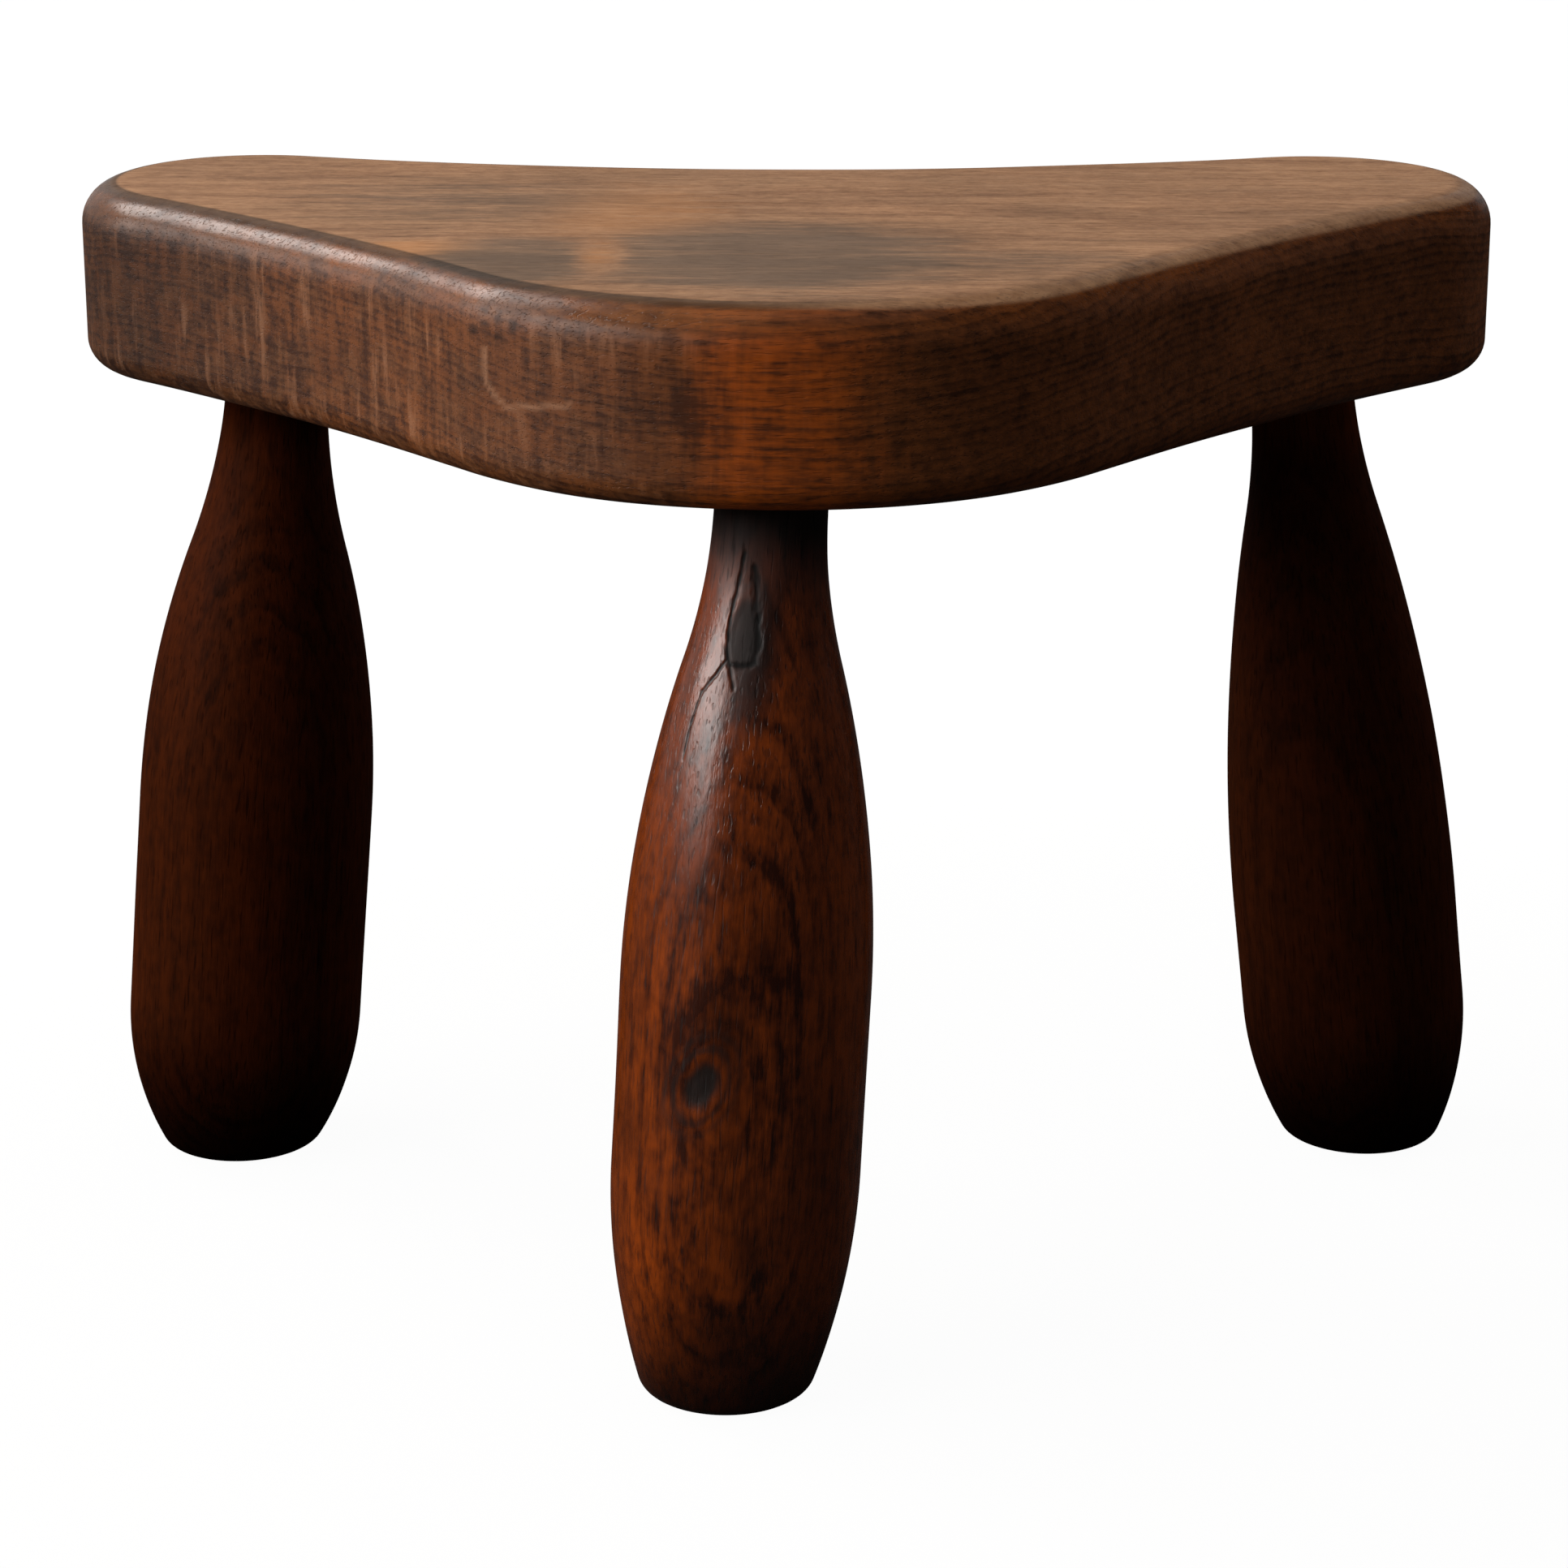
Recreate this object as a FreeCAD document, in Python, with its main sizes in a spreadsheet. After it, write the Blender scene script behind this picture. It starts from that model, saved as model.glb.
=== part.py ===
import FreeCAD, Part
import enum
import math
import os

import Sketcher

# Low three-legged stool, in millimetres. A thick three-lobed slab stands on three club-shaped legs, each
# held by a round tenon in a blind socket and spread there by a hidden wedge. The origin is on the floor
# under the centre of the front lobe, +Z is up, +X runs along the seat's long way and the single front leg
# stands towards -Y.

SIZES = {
    # Seat slab
    "seat_height": 300.0,
    "seat_thickness": 54.0,
    "front_lobe_radius": 110.0,
    "rear_lobe_radius": 50.0,
    "rear_lobe_spacing": 310.0,
    "lobe_row_gap": 77.5,
    "side_waist_radius": 830.0,
    "rear_waist_radius": 465.0,
    "top_edge_round": 12.0,
    "lower_edge_round": 8.5,
    # Joint between a leg and the seat
    "tenon_diameter": 30.0,
    "socket_clearance": 0.1,
    "socket_roof": 18.0,
    "wedge_length": 24.0,
    "wedge_width": 26.0,
    "wedge_thickness": 4.0,
    "saw_kerf": 1.6,
    # Leg turning
    "neck_margin": 1.0,
    "foot_diameter": 46.0,
    "foot_edge_round": 5.0,
}

# The legs are shaped by hand and set by eye, so each has sizes of its own. Sockets are marked from the
# seat's edges. The splay is the lean from upright and the heading is the way the foot leans out,
# anticlockwise from +X, both in degrees.
LEGS = {
    "front": {
        "side_shift": -2.5,
        "edge_inset": 35.5,
        "splay": 6.8,
        "heading": 243.5,
        "neck_flare_radius": 158.0,
        "belly_diameter": 68.0,
        "shoulder_drop": 137.0,
        "foot_rise": 63.0,
    },
    "left": {
        "end_inset": 54.5,
        "edge_inset": 41.0,
        "splay": 5.2,
        "heading": 209.0,
        "neck_flare_radius": 190.0,
        "belly_diameter": 71.0,
        "shoulder_drop": 139.0,
        "foot_rise": 44.0,
    },
    "right": {
        "end_inset": 54.0,
        "edge_inset": 51.5,
        "splay": 7.2,
        "heading": 17.0,
        "neck_flare_radius": 190.0,
        "belly_diameter": 68.0,
        "shoulder_drop": 171.0,
        "foot_rise": 44.5,
    },
}

# Where each socket's mouth is in plan, from the edges of the lobe that it is in
REAR_END = "dims.rear_lobe_spacing / 2 + dims.rear_lobe_radius"
REAR_EDGE = "dims.lobe_row_gap + dims.rear_lobe_radius"
SOCKETS = {
    "front": "dims.front_side_shift; dims.front_edge_inset - dims.front_lobe_radius",
    "left": f"dims.left_end_inset - ({REAR_END}); {REAR_EDGE} - dims.left_edge_inset",
    "right": f"{REAR_END} - dims.right_end_inset; {REAR_EDGE} - dims.right_edge_inset",
}


class At(enum.IntEnum):
    """The points of a sketched curve, in the sketcher's order."""

    START = enum.auto()
    END = enum.auto()
    CENTRE = enum.auto()


UP = FreeCAD.Vector(0, 0, 1)
ORIGIN_POINT = (-1, At.START)
V_AXIS = -2
START, END, CENTRE = At


def make_sheet(doc):
    """The spreadsheet of driving sizes, one named cell for each."""
    cells = dict(SIZES)
    for leg, sizes in LEGS.items():
        for name, value in sizes.items():
            cells[f"{leg}_{name}"] = value
    sheet = doc.addObject("Spreadsheet::Sheet", "dims")
    for row, (name, value) in enumerate(cells.items(), start=1):
        sheet.set(f"A{row}", name)
        sheet.set(f"B{row}", str(value))
        sheet.setAlias(f"B{row}", name)
    doc.recompute()
    return sheet


def add_sketch(body, name, role):
    """An empty sketch on one of the body's own origin planes."""
    plane = [feature for feature in body.Origin.OriginFeatures if feature.Role == role][0]
    sketch = body.newObject("Sketcher::SketchObject", name)
    sketch.AttachmentSupport = (plane, [""])
    sketch.MapMode = "FlatFace"
    return sketch


def drive(sketch, name, expression, kind, *terms):
    """A named dimension of the sketch, bound to the sheet."""
    index = sketch.addConstraint(Sketcher.Constraint(kind, *terms))
    sketch.renameConstraint(index, name)
    sketch.setExpression(f"Constraints.{name}", expression)


def arc_between(centre, start, end):
    """Circular arc, anticlockwise about its centre from start to end."""
    first = math.atan2(start.y - centre.y, start.x - centre.x)
    last = math.atan2(end.y - centre.y, end.x - centre.x)
    circle = Part.Circle(centre, UP, centre.distanceToPoint(start))
    return Part.ArcOfCircle(circle, first, last if last > first else last + 2 * math.pi)


def line_between(start, end):
    return Part.LineSegment(start, end)


def outer_centre(first, first_reach, second, second_reach):
    """Centre that lies at both reaches, on the right of the way from first to second."""
    along = second - first
    gap = along.Length
    along.normalize()
    step = (first_reach**2 - second_reach**2 + gap**2) / (2 * gap)
    rise = math.sqrt(first_reach**2 - step**2)
    return first + along * step + FreeCAD.Vector(along.y, -along.x, 0) * rise


def point_towards(start, target, distance):
    direction = target - start
    direction.normalize()
    return start + direction * distance


def draw_seat_outline(sketch):
    """Three lobes joined by three shallow waists, all tangent."""
    front_radius = SIZES["front_lobe_radius"]
    rear_radius = SIZES["rear_lobe_radius"]
    side_waist = SIZES["side_waist_radius"]
    rear_waist = SIZES["rear_waist_radius"]
    half_spacing = SIZES["rear_lobe_spacing"] / 2
    front = FreeCAD.Vector(0, 0, 0)
    right = FreeCAD.Vector(half_spacing, SIZES["lobe_row_gap"], 0)
    left = FreeCAD.Vector(-half_spacing, SIZES["lobe_row_gap"], 0)
    lobes = [(front, front_radius), (right, rear_radius), (left, rear_radius)]
    waist_radii = [side_waist, rear_waist, side_waist]

    # Going round anticlockwise, waist k joins lobe k to the next lobe
    leaving = []
    arriving = []
    waists = []
    for k in range(3):
        centre, radius = lobes[k]
        next_centre, next_radius = lobes[(k + 1) % 3]
        waist = outer_centre(centre, radius + waist_radii[k], next_centre, next_radius + waist_radii[k])
        waists.append(waist)
        leaving.append(point_towards(centre, waist, radius))
        arriving.append(point_towards(next_centre, waist, next_radius))
    for k in range(3):
        sketch.addGeometry(arc_between(lobes[k][0], arriving[k - 1], leaving[k]))
    for k in range(3):
        sketch.addGeometry(arc_between(waists[k], arriving[k], leaving[k]))

    front_lobe, right_lobe, left_lobe, right_waist, back_waist, left_waist = range(6)
    for k in range(3):
        sketch.addConstraint(Sketcher.Constraint("Tangent", k, END, 3 + k, END))
        sketch.addConstraint(Sketcher.Constraint("Tangent", 3 + k, START, (k + 1) % 3, START))
    sketch.addConstraint(Sketcher.Constraint("Coincident", front_lobe, CENTRE, *ORIGIN_POINT))
    sketch.addConstraint(Sketcher.Constraint("Symmetric", left_lobe, CENTRE, right_lobe, CENTRE, V_AXIS))
    sketch.addConstraint(Sketcher.Constraint("Equal", right_lobe, left_lobe))
    sketch.addConstraint(Sketcher.Constraint("Equal", right_waist, left_waist))
    drive(sketch, "half_spacing", "dims.rear_lobe_spacing / 2",
          "DistanceX", *ORIGIN_POINT, right_lobe, CENTRE, half_spacing)
    drive(sketch, "row_gap", "dims.lobe_row_gap",
          "DistanceY", *ORIGIN_POINT, right_lobe, CENTRE, SIZES["lobe_row_gap"])
    drive(sketch, "front_lobe", "dims.front_lobe_radius", "Radius", front_lobe, front_radius)
    drive(sketch, "rear_lobe", "dims.rear_lobe_radius", "Radius", right_lobe, rear_radius)
    drive(sketch, "side_waist", "dims.side_waist_radius", "Radius", right_waist, side_waist)
    drive(sketch, "rear_waist", "dims.rear_waist_radius", "Radius", back_waist, rear_waist)


def lean_axis(leg):
    """Level axis that a leg is tilted about, as text for the sheet."""
    return f"vector(-sin(dims.{leg}_heading); cos(dims.{leg}_heading); 0)"


def leg_frame(leg, base_height):
    """Frame at a socket's mouth, +Z along the leg into the seat, as text for the sheet."""
    place = f"vector({SOCKETS[leg]}; {base_height})"
    return f"placement({place}; rotation({lean_axis(leg)}; -dims.{leg}_splay))"


def tenon_reach(leg):
    """Length of a tenon from the socket's mouth to its end, as text for the sheet."""
    return f"(dims.seat_thickness - dims.socket_roof) / cos(dims.{leg}_splay)"


def tenon_reach_now(leg):
    """The same length as a number, for the first drawing of a sketch."""
    depth = SIZES["seat_thickness"] - SIZES["socket_roof"]
    return depth / math.cos(math.radians(LEGS[leg]["splay"]))


def add_fillet(body, name, base, pick, size):
    """Rounds every edge of one flat face, the highest or the lowest as pick says."""
    flat = {
        face.CenterOfMass.z: f"Face{index}"
        for index, face in enumerate(base.Shape.Faces, start=1)
        if face.Surface.TypeId == "Part::GeomPlane"
    }
    fillet = body.newObject("PartDesign::Fillet", name)
    fillet.Base = (base, [flat[pick(flat)]])
    fillet.setExpression("Radius", f"dims.{size}")
    body.Document.recompute()
    return fillet


def build_seat(doc):
    """Slab with a wide round on its top edge, a smaller one below and three slanted blind sockets."""
    body = doc.addObject("PartDesign::Body", "seat")
    body.setExpression("Placement.Base.z", "dims.seat_height - dims.seat_thickness")
    outline = add_sketch(body, "seat_outline", "XY_Plane")
    draw_seat_outline(outline)
    slab = body.newObject("PartDesign::Pad", "seat_slab")
    slab.Profile = outline
    slab.setExpression("Length", "dims.seat_thickness")
    doc.recompute()
    top = add_fillet(body, "seat_top_round", slab, max, "top_edge_round")
    add_fillet(body, "seat_lower_round", top, min, "lower_edge_round")

    # Each drill starts below the underside, far enough for its whole rim to clear the wood
    drill_radius = "(dims.tenon_diameter / 2 + dims.socket_clearance)"
    for leg in LEGS:
        lead_in = f"{drill_radius} * tan(dims.{leg}_splay) + dims.neck_margin"
        step_back = f"placement(vector(0; 0; -({lead_in})); rotation(vector(0; 0; 1); 0))"
        volume = body.Shape.Volume
        socket = body.newObject("PartDesign::SubtractiveCylinder", f"{leg}_socket")
        socket.setExpression("Radius", drill_radius)
        socket.setExpression("Height", f"{tenon_reach(leg)} + {lead_in}")
        socket.setExpression("Placement", f"{leg_frame(leg, 0)} * {step_back}")
        doc.recompute()
        if body.Shape.Volume >= volume:
            raise RuntimeError(f"the {leg} socket removed no wood")
    return body


def draw_leg_profile(sketch, leg):
    """Half section of a leg from its axis: foot, belly, shoulder, neck and tenon."""
    sizes = LEGS[leg]
    slope = math.tan(math.radians(sizes["splay"]))
    length = (SIZES["seat_height"] - SIZES["seat_thickness"]) / math.cos(math.radians(sizes["splay"]))
    foot = SIZES["foot_diameter"] / 2
    belly = sizes["belly_diameter"] / 2
    neck = SIZES["tenon_diameter"] / 2
    flare = sizes["neck_flare_radius"]
    tenon_end = tenon_reach_now(leg)
    neck_drop = neck * slope + SIZES["neck_margin"]
    trim = length + foot * slope + SIZES["foot_edge_round"]

    # The foot curve leaves the belly upright and passes through the foot's edge on the floor
    inset = belly - foot
    foot_curve = (inset**2 + sizes["foot_rise"]**2) / (2 * inset)
    foot_centre = FreeCAD.Vector(belly - foot_curve, sizes["foot_rise"] - length, 0)
    tip_width = math.sqrt(foot_curve**2 - (foot_centre.y + trim)**2)
    tip = FreeCAD.Vector(foot_centre.x + tip_width, -trim, 0)
    belly_low = FreeCAD.Vector(belly, foot_centre.y, 0)

    # Shoulder and neck make one S-curve that is upright at both ends
    waist = belly - neck
    fall = sizes["shoulder_drop"] - neck_drop
    both = (waist**2 + fall**2) / (2 * waist)
    belly_high = FreeCAD.Vector(belly, -sizes["shoulder_drop"], 0)
    shoulder_centre = FreeCAD.Vector(belly - both + flare, belly_high.y, 0)
    neck_low = FreeCAD.Vector(neck, -neck_drop, 0)
    flare_centre = FreeCAD.Vector(neck + flare, neck_low.y, 0)
    turn = point_towards(shoulder_centre, flare_centre, both - flare)

    axis_low = FreeCAD.Vector(0, -trim, 0)
    axis_high = FreeCAD.Vector(0, tenon_end, 0)
    tenon_high = FreeCAD.Vector(neck, tenon_end, 0)
    outline = [
        line_between(axis_high, axis_low),
        line_between(axis_low, tip),
        arc_between(foot_centre, tip, belly_low),
        line_between(belly_low, belly_high),
        arc_between(shoulder_centre, belly_high, turn),
        arc_between(flare_centre, neck_low, turn),
        line_between(neck_low, tenon_high),
        line_between(tenon_high, axis_high),
    ]
    for curve in outline:
        sketch.addGeometry(curve)
    axis, base, foot_arc, belly_line, shoulder_arc, neck_arc, tenon_line, end_line = range(8)
    floor_edge = sketch.addGeometry(Part.Point(FreeCAD.Vector(foot, -length, 0)), True)

    for point in (START, END):
        sketch.addConstraint(Sketcher.Constraint("PointOnObject", axis, point, V_AXIS))
    for first, second in ((axis, base), (base, foot_arc), (tenon_line, end_line), (end_line, axis)):
        sketch.addConstraint(Sketcher.Constraint("Coincident", first, END, second, START))
    for level in (base, end_line):
        sketch.addConstraint(Sketcher.Constraint("Horizontal", level))
    for upright in (belly_line, tenon_line):
        sketch.addConstraint(Sketcher.Constraint("Vertical", upright))
    sketch.addConstraint(Sketcher.Constraint("Tangent", foot_arc, END, belly_line, START))
    sketch.addConstraint(Sketcher.Constraint("Tangent", belly_line, END, shoulder_arc, START))
    sketch.addConstraint(Sketcher.Constraint("Tangent", shoulder_arc, END, neck_arc, END))
    sketch.addConstraint(Sketcher.Constraint("Tangent", neck_arc, START, tenon_line, START))
    sketch.addConstraint(Sketcher.Constraint("PointOnObject", floor_edge, START, foot_arc))

    full_length = f"(dims.seat_height - dims.seat_thickness) / cos(dims.{leg}_splay)"
    drive(sketch, "foot_radius", "dims.foot_diameter / 2",
          "DistanceX", *ORIGIN_POINT, floor_edge, START, foot)
    drive(sketch, "length", full_length, "DistanceY", floor_edge, START, *ORIGIN_POINT, length)
    drive(sketch, "trim",
          f"{full_length} + dims.foot_diameter / 2 * tan(dims.{leg}_splay) + dims.foot_edge_round",
          "DistanceY", base, END, *ORIGIN_POINT, trim)
    drive(sketch, "foot_rise", f"dims.{leg}_foot_rise",
          "DistanceY", floor_edge, START, belly_line, START, sizes["foot_rise"])
    drive(sketch, "belly_radius", f"dims.{leg}_belly_diameter / 2",
          "DistanceX", *ORIGIN_POINT, belly_line, START, belly)
    drive(sketch, "shoulder_drop", f"dims.{leg}_shoulder_drop",
          "DistanceY", belly_line, END, *ORIGIN_POINT, sizes["shoulder_drop"])
    drive(sketch, "neck_flare", f"dims.{leg}_neck_flare_radius", "Radius", neck_arc, flare)
    drive(sketch, "neck_drop", f"dims.tenon_diameter / 2 * tan(dims.{leg}_splay) + dims.neck_margin",
          "DistanceY", neck_arc, START, *ORIGIN_POINT, neck_drop)
    drive(sketch, "tenon_radius", "dims.tenon_diameter / 2",
          "DistanceX", *ORIGIN_POINT, tenon_line, END, neck)
    drive(sketch, "tenon_end", tenon_reach(leg), "DistanceY", *ORIGIN_POINT, tenon_line, END, tenon_end)


def draw_wedge_section(sketch, leg):
    """Tapered section shared by a tenon's slot and the wedge that fills it, widest at the tenon's end."""
    end = tenon_reach_now(leg)
    mouth = SIZES["wedge_thickness"] / 2
    root = SIZES["saw_kerf"] / 2
    low = end - SIZES["wedge_length"]
    corners = [
        FreeCAD.Vector(-mouth, end, 0),
        FreeCAD.Vector(-root, low, 0),
        FreeCAD.Vector(root, low, 0),
        FreeCAD.Vector(mouth, end, 0),
    ]
    for k in range(4):
        sketch.addGeometry(line_between(corners[k], corners[(k + 1) % 4]))
    left_side, root_side, right_side, mouth_side = range(4)
    for k in range(4):
        sketch.addConstraint(Sketcher.Constraint("Coincident", k, END, (k + 1) % 4, START))
    for side in (root_side, mouth_side):
        sketch.addConstraint(Sketcher.Constraint("Symmetric", side, START, side, END, V_AXIS))
    drive(sketch, "mouth", "dims.wedge_thickness",
          "DistanceX", mouth_side, END, mouth_side, START, SIZES["wedge_thickness"])
    drive(sketch, "root", "dims.saw_kerf", "DistanceX", root_side, START, root_side, END, SIZES["saw_kerf"])
    drive(sketch, "depth", "dims.wedge_length",
          "DistanceY", right_side, START, right_side, END, SIZES["wedge_length"])
    drive(sketch, "tenon_end", tenon_reach(leg), "DistanceY", *ORIGIN_POINT, right_side, END, end)


def build_leg(doc, leg):
    """Turned leg with a slotted tenon, sawn off level with the floor."""
    body = doc.addObject("PartDesign::Body", f"{leg}_leg")
    body.setExpression("Placement", leg_frame(leg, "dims.seat_height - dims.seat_thickness"))
    profile = add_sketch(body, f"{leg}_leg_profile", "XZ_Plane")
    draw_leg_profile(profile, leg)
    turning = body.newObject("PartDesign::Revolution", f"{leg}_leg_turning")
    turning.Profile = profile
    turning.ReferenceAxis = (profile, ["V_Axis"])
    turning.Angle = 360
    doc.recompute()

    # The slot lies across the seat's grain, so that the wedge spreads the tenon along the grain
    volume = body.Shape.Volume
    section = add_sketch(body, f"{leg}_slot_section", "XZ_Plane")
    draw_wedge_section(section, leg)
    slot = body.newObject("PartDesign::Pocket", f"{leg}_slot")
    slot.Profile = section
    slot.Type = "ThroughAll"
    slot.SideType = "Symmetric"
    doc.recompute()
    if body.Shape.Volume >= volume:
        raise RuntimeError(f"the {leg} tenon has no slot")

    # The floor, seen from the leg: everything below it is sawn off
    volume = body.Shape.Volume
    full_length = f"(dims.seat_height - dims.seat_thickness) / cos(dims.{leg}_splay)"
    floor = f"placement(vector(0; 0; -({full_length})); rotation({lean_axis(leg)}; dims.{leg}_splay))"
    size = f"dims.{leg}_belly_diameter"
    centred = f"placement(vector(-{size}; -{size}; -{size}); rotation(vector(0; 0; 1); 0))"
    saw = body.newObject("PartDesign::SubtractiveBox", f"{leg}_floor_cut")
    saw.setExpression("Length", f"2 * {size}")
    saw.setExpression("Width", f"2 * {size}")
    saw.setExpression("Height", size)
    saw.setExpression("Placement", f"{floor} * {centred}")
    doc.recompute()
    if body.Shape.Volume >= volume:
        raise RuntimeError(f"the {leg} foot was not trimmed")
    add_fillet(body, f"{leg}_foot_round", saw, min, "foot_edge_round")
    return body


def build_wedge(doc, leg):
    """Hidden wedge that fills the slot, its thick end on the floor of the socket."""
    body = doc.addObject("PartDesign::Body", f"{leg}_wedge")
    body.setExpression("Placement", leg_frame(leg, "dims.seat_height - dims.seat_thickness"))
    section = add_sketch(body, f"{leg}_wedge_section", "XZ_Plane")
    draw_wedge_section(section, leg)
    blank = body.newObject("PartDesign::Pad", f"{leg}_wedge_blank")
    blank.Profile = section
    blank.SideType = "Symmetric"
    blank.setExpression("Length", "dims.wedge_width")
    doc.recompute()
    return body


def check(doc, nodes):
    """Stops before anything is written if an object failed or a solid is not sound."""
    for item in doc.Objects:
        if "Invalid" in item.State or "Error" in item.State:
            raise RuntimeError(f"{item.Label} did not compute: {item.State}")
    for node in nodes:
        if node.Shape.isNull() or not node.Shape.isValid() or len(node.Shape.Solids) != 1:
            raise RuntimeError(f"{node.Label} is not one valid solid")


def main():
    doc = FreeCAD.newDocument("stool")
    make_sheet(doc)
    nodes = [build_seat(doc)]
    for leg in LEGS:
        nodes.append(build_leg(doc, leg))
        nodes.append(build_wedge(doc, leg))
    doc.recompute()
    check(doc, nodes)
    os.makedirs("parts", exist_ok=True)
    for node in nodes:
        node.Shape.exportStep(f"parts/{node.Label}.step")
        box = node.Shape.optimalBoundingBox()
        print(f"{node.Label}: {node.Shape.Volume / 1000:.1f} cm3, x {box.XMin:.1f} to {box.XMax:.1f}, "
              f"y {box.YMin:.1f} to {box.YMax:.1f}, z {box.ZMin:.1f} to {box.ZMax:.1f}")


if __name__ == "__main__":
    main()
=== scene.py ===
import math
from collections import namedtuple
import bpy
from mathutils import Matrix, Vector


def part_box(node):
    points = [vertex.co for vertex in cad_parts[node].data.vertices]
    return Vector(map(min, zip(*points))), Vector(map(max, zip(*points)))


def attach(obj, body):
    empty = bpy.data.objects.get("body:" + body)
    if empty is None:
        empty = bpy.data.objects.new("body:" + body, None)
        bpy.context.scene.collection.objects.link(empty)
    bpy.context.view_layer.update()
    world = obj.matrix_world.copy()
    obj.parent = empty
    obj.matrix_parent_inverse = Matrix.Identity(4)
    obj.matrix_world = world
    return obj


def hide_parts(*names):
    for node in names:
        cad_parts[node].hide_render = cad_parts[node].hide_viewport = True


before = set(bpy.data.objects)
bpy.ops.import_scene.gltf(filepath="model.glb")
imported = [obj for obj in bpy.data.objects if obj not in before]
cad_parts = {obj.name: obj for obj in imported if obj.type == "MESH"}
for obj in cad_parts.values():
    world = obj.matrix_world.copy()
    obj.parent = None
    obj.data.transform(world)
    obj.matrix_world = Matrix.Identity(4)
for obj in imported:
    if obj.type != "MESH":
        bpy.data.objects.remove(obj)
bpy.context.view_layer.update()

from types import SimpleNamespace

import bmesh
import bpy
import numpy as np
from bpy.props import FloatProperty, FloatVectorProperty, PointerProperty
from mathutils import Matrix, Vector, noise
from mathutils.geometry import delaunay_2d_cdt

bl_info = {
    "name": "Three-legged stool",
    "version": (1, 0, 0),
    "blender": (4, 5, 0),
    "location": "3D View > Sidebar > Stool",
    "description": "Builds the looks of a low three-legged stool over its construction model",
    "category": "Object",
}

# The stool stands on the floor in metres, +Z up and the front leg towards -Y. Grain is measured in
# millimetres, so that ring and pore sizes read as they would on a ruler.
MM = 0.001
SEAT_LOW, SEAT_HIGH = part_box("seat")
# Faces that meet at more than this angle keep a crisp edge
SHARP_ANGLE = math.radians(50)


def length(name, description, default):
    return FloatProperty(name=name, description=description, default=default, min=0.0, unit="LENGTH")


def place(name, description, default):
    return FloatProperty(name=name, description=description, default=default, unit="LENGTH")


def angle(name, description, degrees):
    return FloatProperty(name=name, description=description, default=math.radians(degrees),
                         unit="ROTATION", subtype="ANGLE")


def colour(name, description, default):
    return FloatVectorProperty(name=name, description=description, default=default,
                               min=0.0, max=1.0, size=3, subtype="COLOR")


class StoolSeatSizes(bpy.types.PropertyGroup):
    """Sizes of the seat slab. Its outer reach comes from the construction model."""

    front_lobe_radius: length("Front lobe", "Radius of the front lobe in plan", -SEAT_LOW.y)
    rear_lobe_radius: length("Rear lobes", "Radius of the two rear lobes in plan", 50 * MM)
    side_waist_radius: length("Side waists", "Radius of the hollow between front and rear lobes", 830 * MM)
    rear_waist_radius: length("Rear waist", "Radius of the hollow between the rear lobes", 465 * MM)
    top_edge_round: length("Top round", "Radius of the worn upper edge", 12 * MM)
    lower_edge_round: length("Lower round", "Radius of the lower edge", 8.5 * MM)
    surface_wave: length("Surface wave", "Depth of the unevenness left by hand tools", 0.4 * MM)


class StoolJointSizes(bpy.types.PropertyGroup):
    """Sizes of the joint between a leg and the seat, and of the turning that the legs share."""

    tenon_diameter: length("Tenon", "Diameter of the round tenon", 30 * MM)
    socket_clearance: length("Clearance", "Gap round a tenon in its socket", 0.1 * MM)
    socket_roof: length("Socket roof", "Wood left above a blind socket", 18 * MM)
    wedge_length: length("Wedge length", "Depth of the slot for the wedge", 24 * MM)
    wedge_thickness: length("Wedge thickness", "Slot width at the tenon's end", 4 * MM)
    saw_kerf: length("Saw kerf", "Slot width at its root", 1.6 * MM)
    neck_margin: length("Neck margin", "Straight stretch below the seat", 1 * MM)
    foot_diameter: length("Foot", "Diameter of the foot at the floor", 46 * MM)
    foot_edge_round: length("Foot round", "Radius of the foot's lower edge", 5 * MM)
    turning_wave: length("Turning wave", "Depth of the unevenness left by shaping", 0.5 * MM)


# Default sizes of the legs, which were shaped by hand and differ a little. Angles are in degrees.
LEG_SIZES = {
    "front": {"x": -2.5 * MM, "y": -74.5 * MM, "splay": 6.8, "heading": 243.5,
              "flare": 158 * MM, "belly": 68 * MM, "shoulder": 137 * MM, "foot_rise": 63 * MM},
    "left": {"x": -150.5 * MM, "y": 86.5 * MM, "splay": 5.2, "heading": 209,
             "flare": 190 * MM, "belly": 71 * MM, "shoulder": 139 * MM, "foot_rise": 44 * MM},
    "right": {"x": 151 * MM, "y": 76 * MM, "splay": 7.2, "heading": 17,
              "flare": 190 * MM, "belly": 68 * MM, "shoulder": 171 * MM, "foot_rise": 44.5 * MM},
}
LEGS = tuple(LEG_SIZES)
# Kind, label and description of each size of a leg
LEG_ROWS = {
    "x": (place, "socket X", "Socket's mouth along the seat"),
    "y": (place, "socket Y", "Socket's mouth across the seat"),
    "splay": (angle, "splay", "Lean from upright"),
    "heading": (angle, "heading", "Way that the foot leans out"),
    "flare": (length, "flare", "Radius of the hollow under the seat"),
    "belly": (length, "belly", "Largest diameter"),
    "shoulder": (length, "shoulder", "Drop from the seat to the belly"),
    "foot_rise": (length, "foot rise", "Height where the foot starts to narrow"),
}


class StoolLegSizes(bpy.types.PropertyGroup):
    """Sizes of the three legs, each leg with its own rows."""

    __annotations__ = {
        f"{leg}_{name}": kind(f"{leg.title()} {label}", description, sizes[name])
        for leg, sizes in LEG_SIZES.items()
        for name, (kind, label, description) in LEG_ROWS.items()
    }


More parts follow.
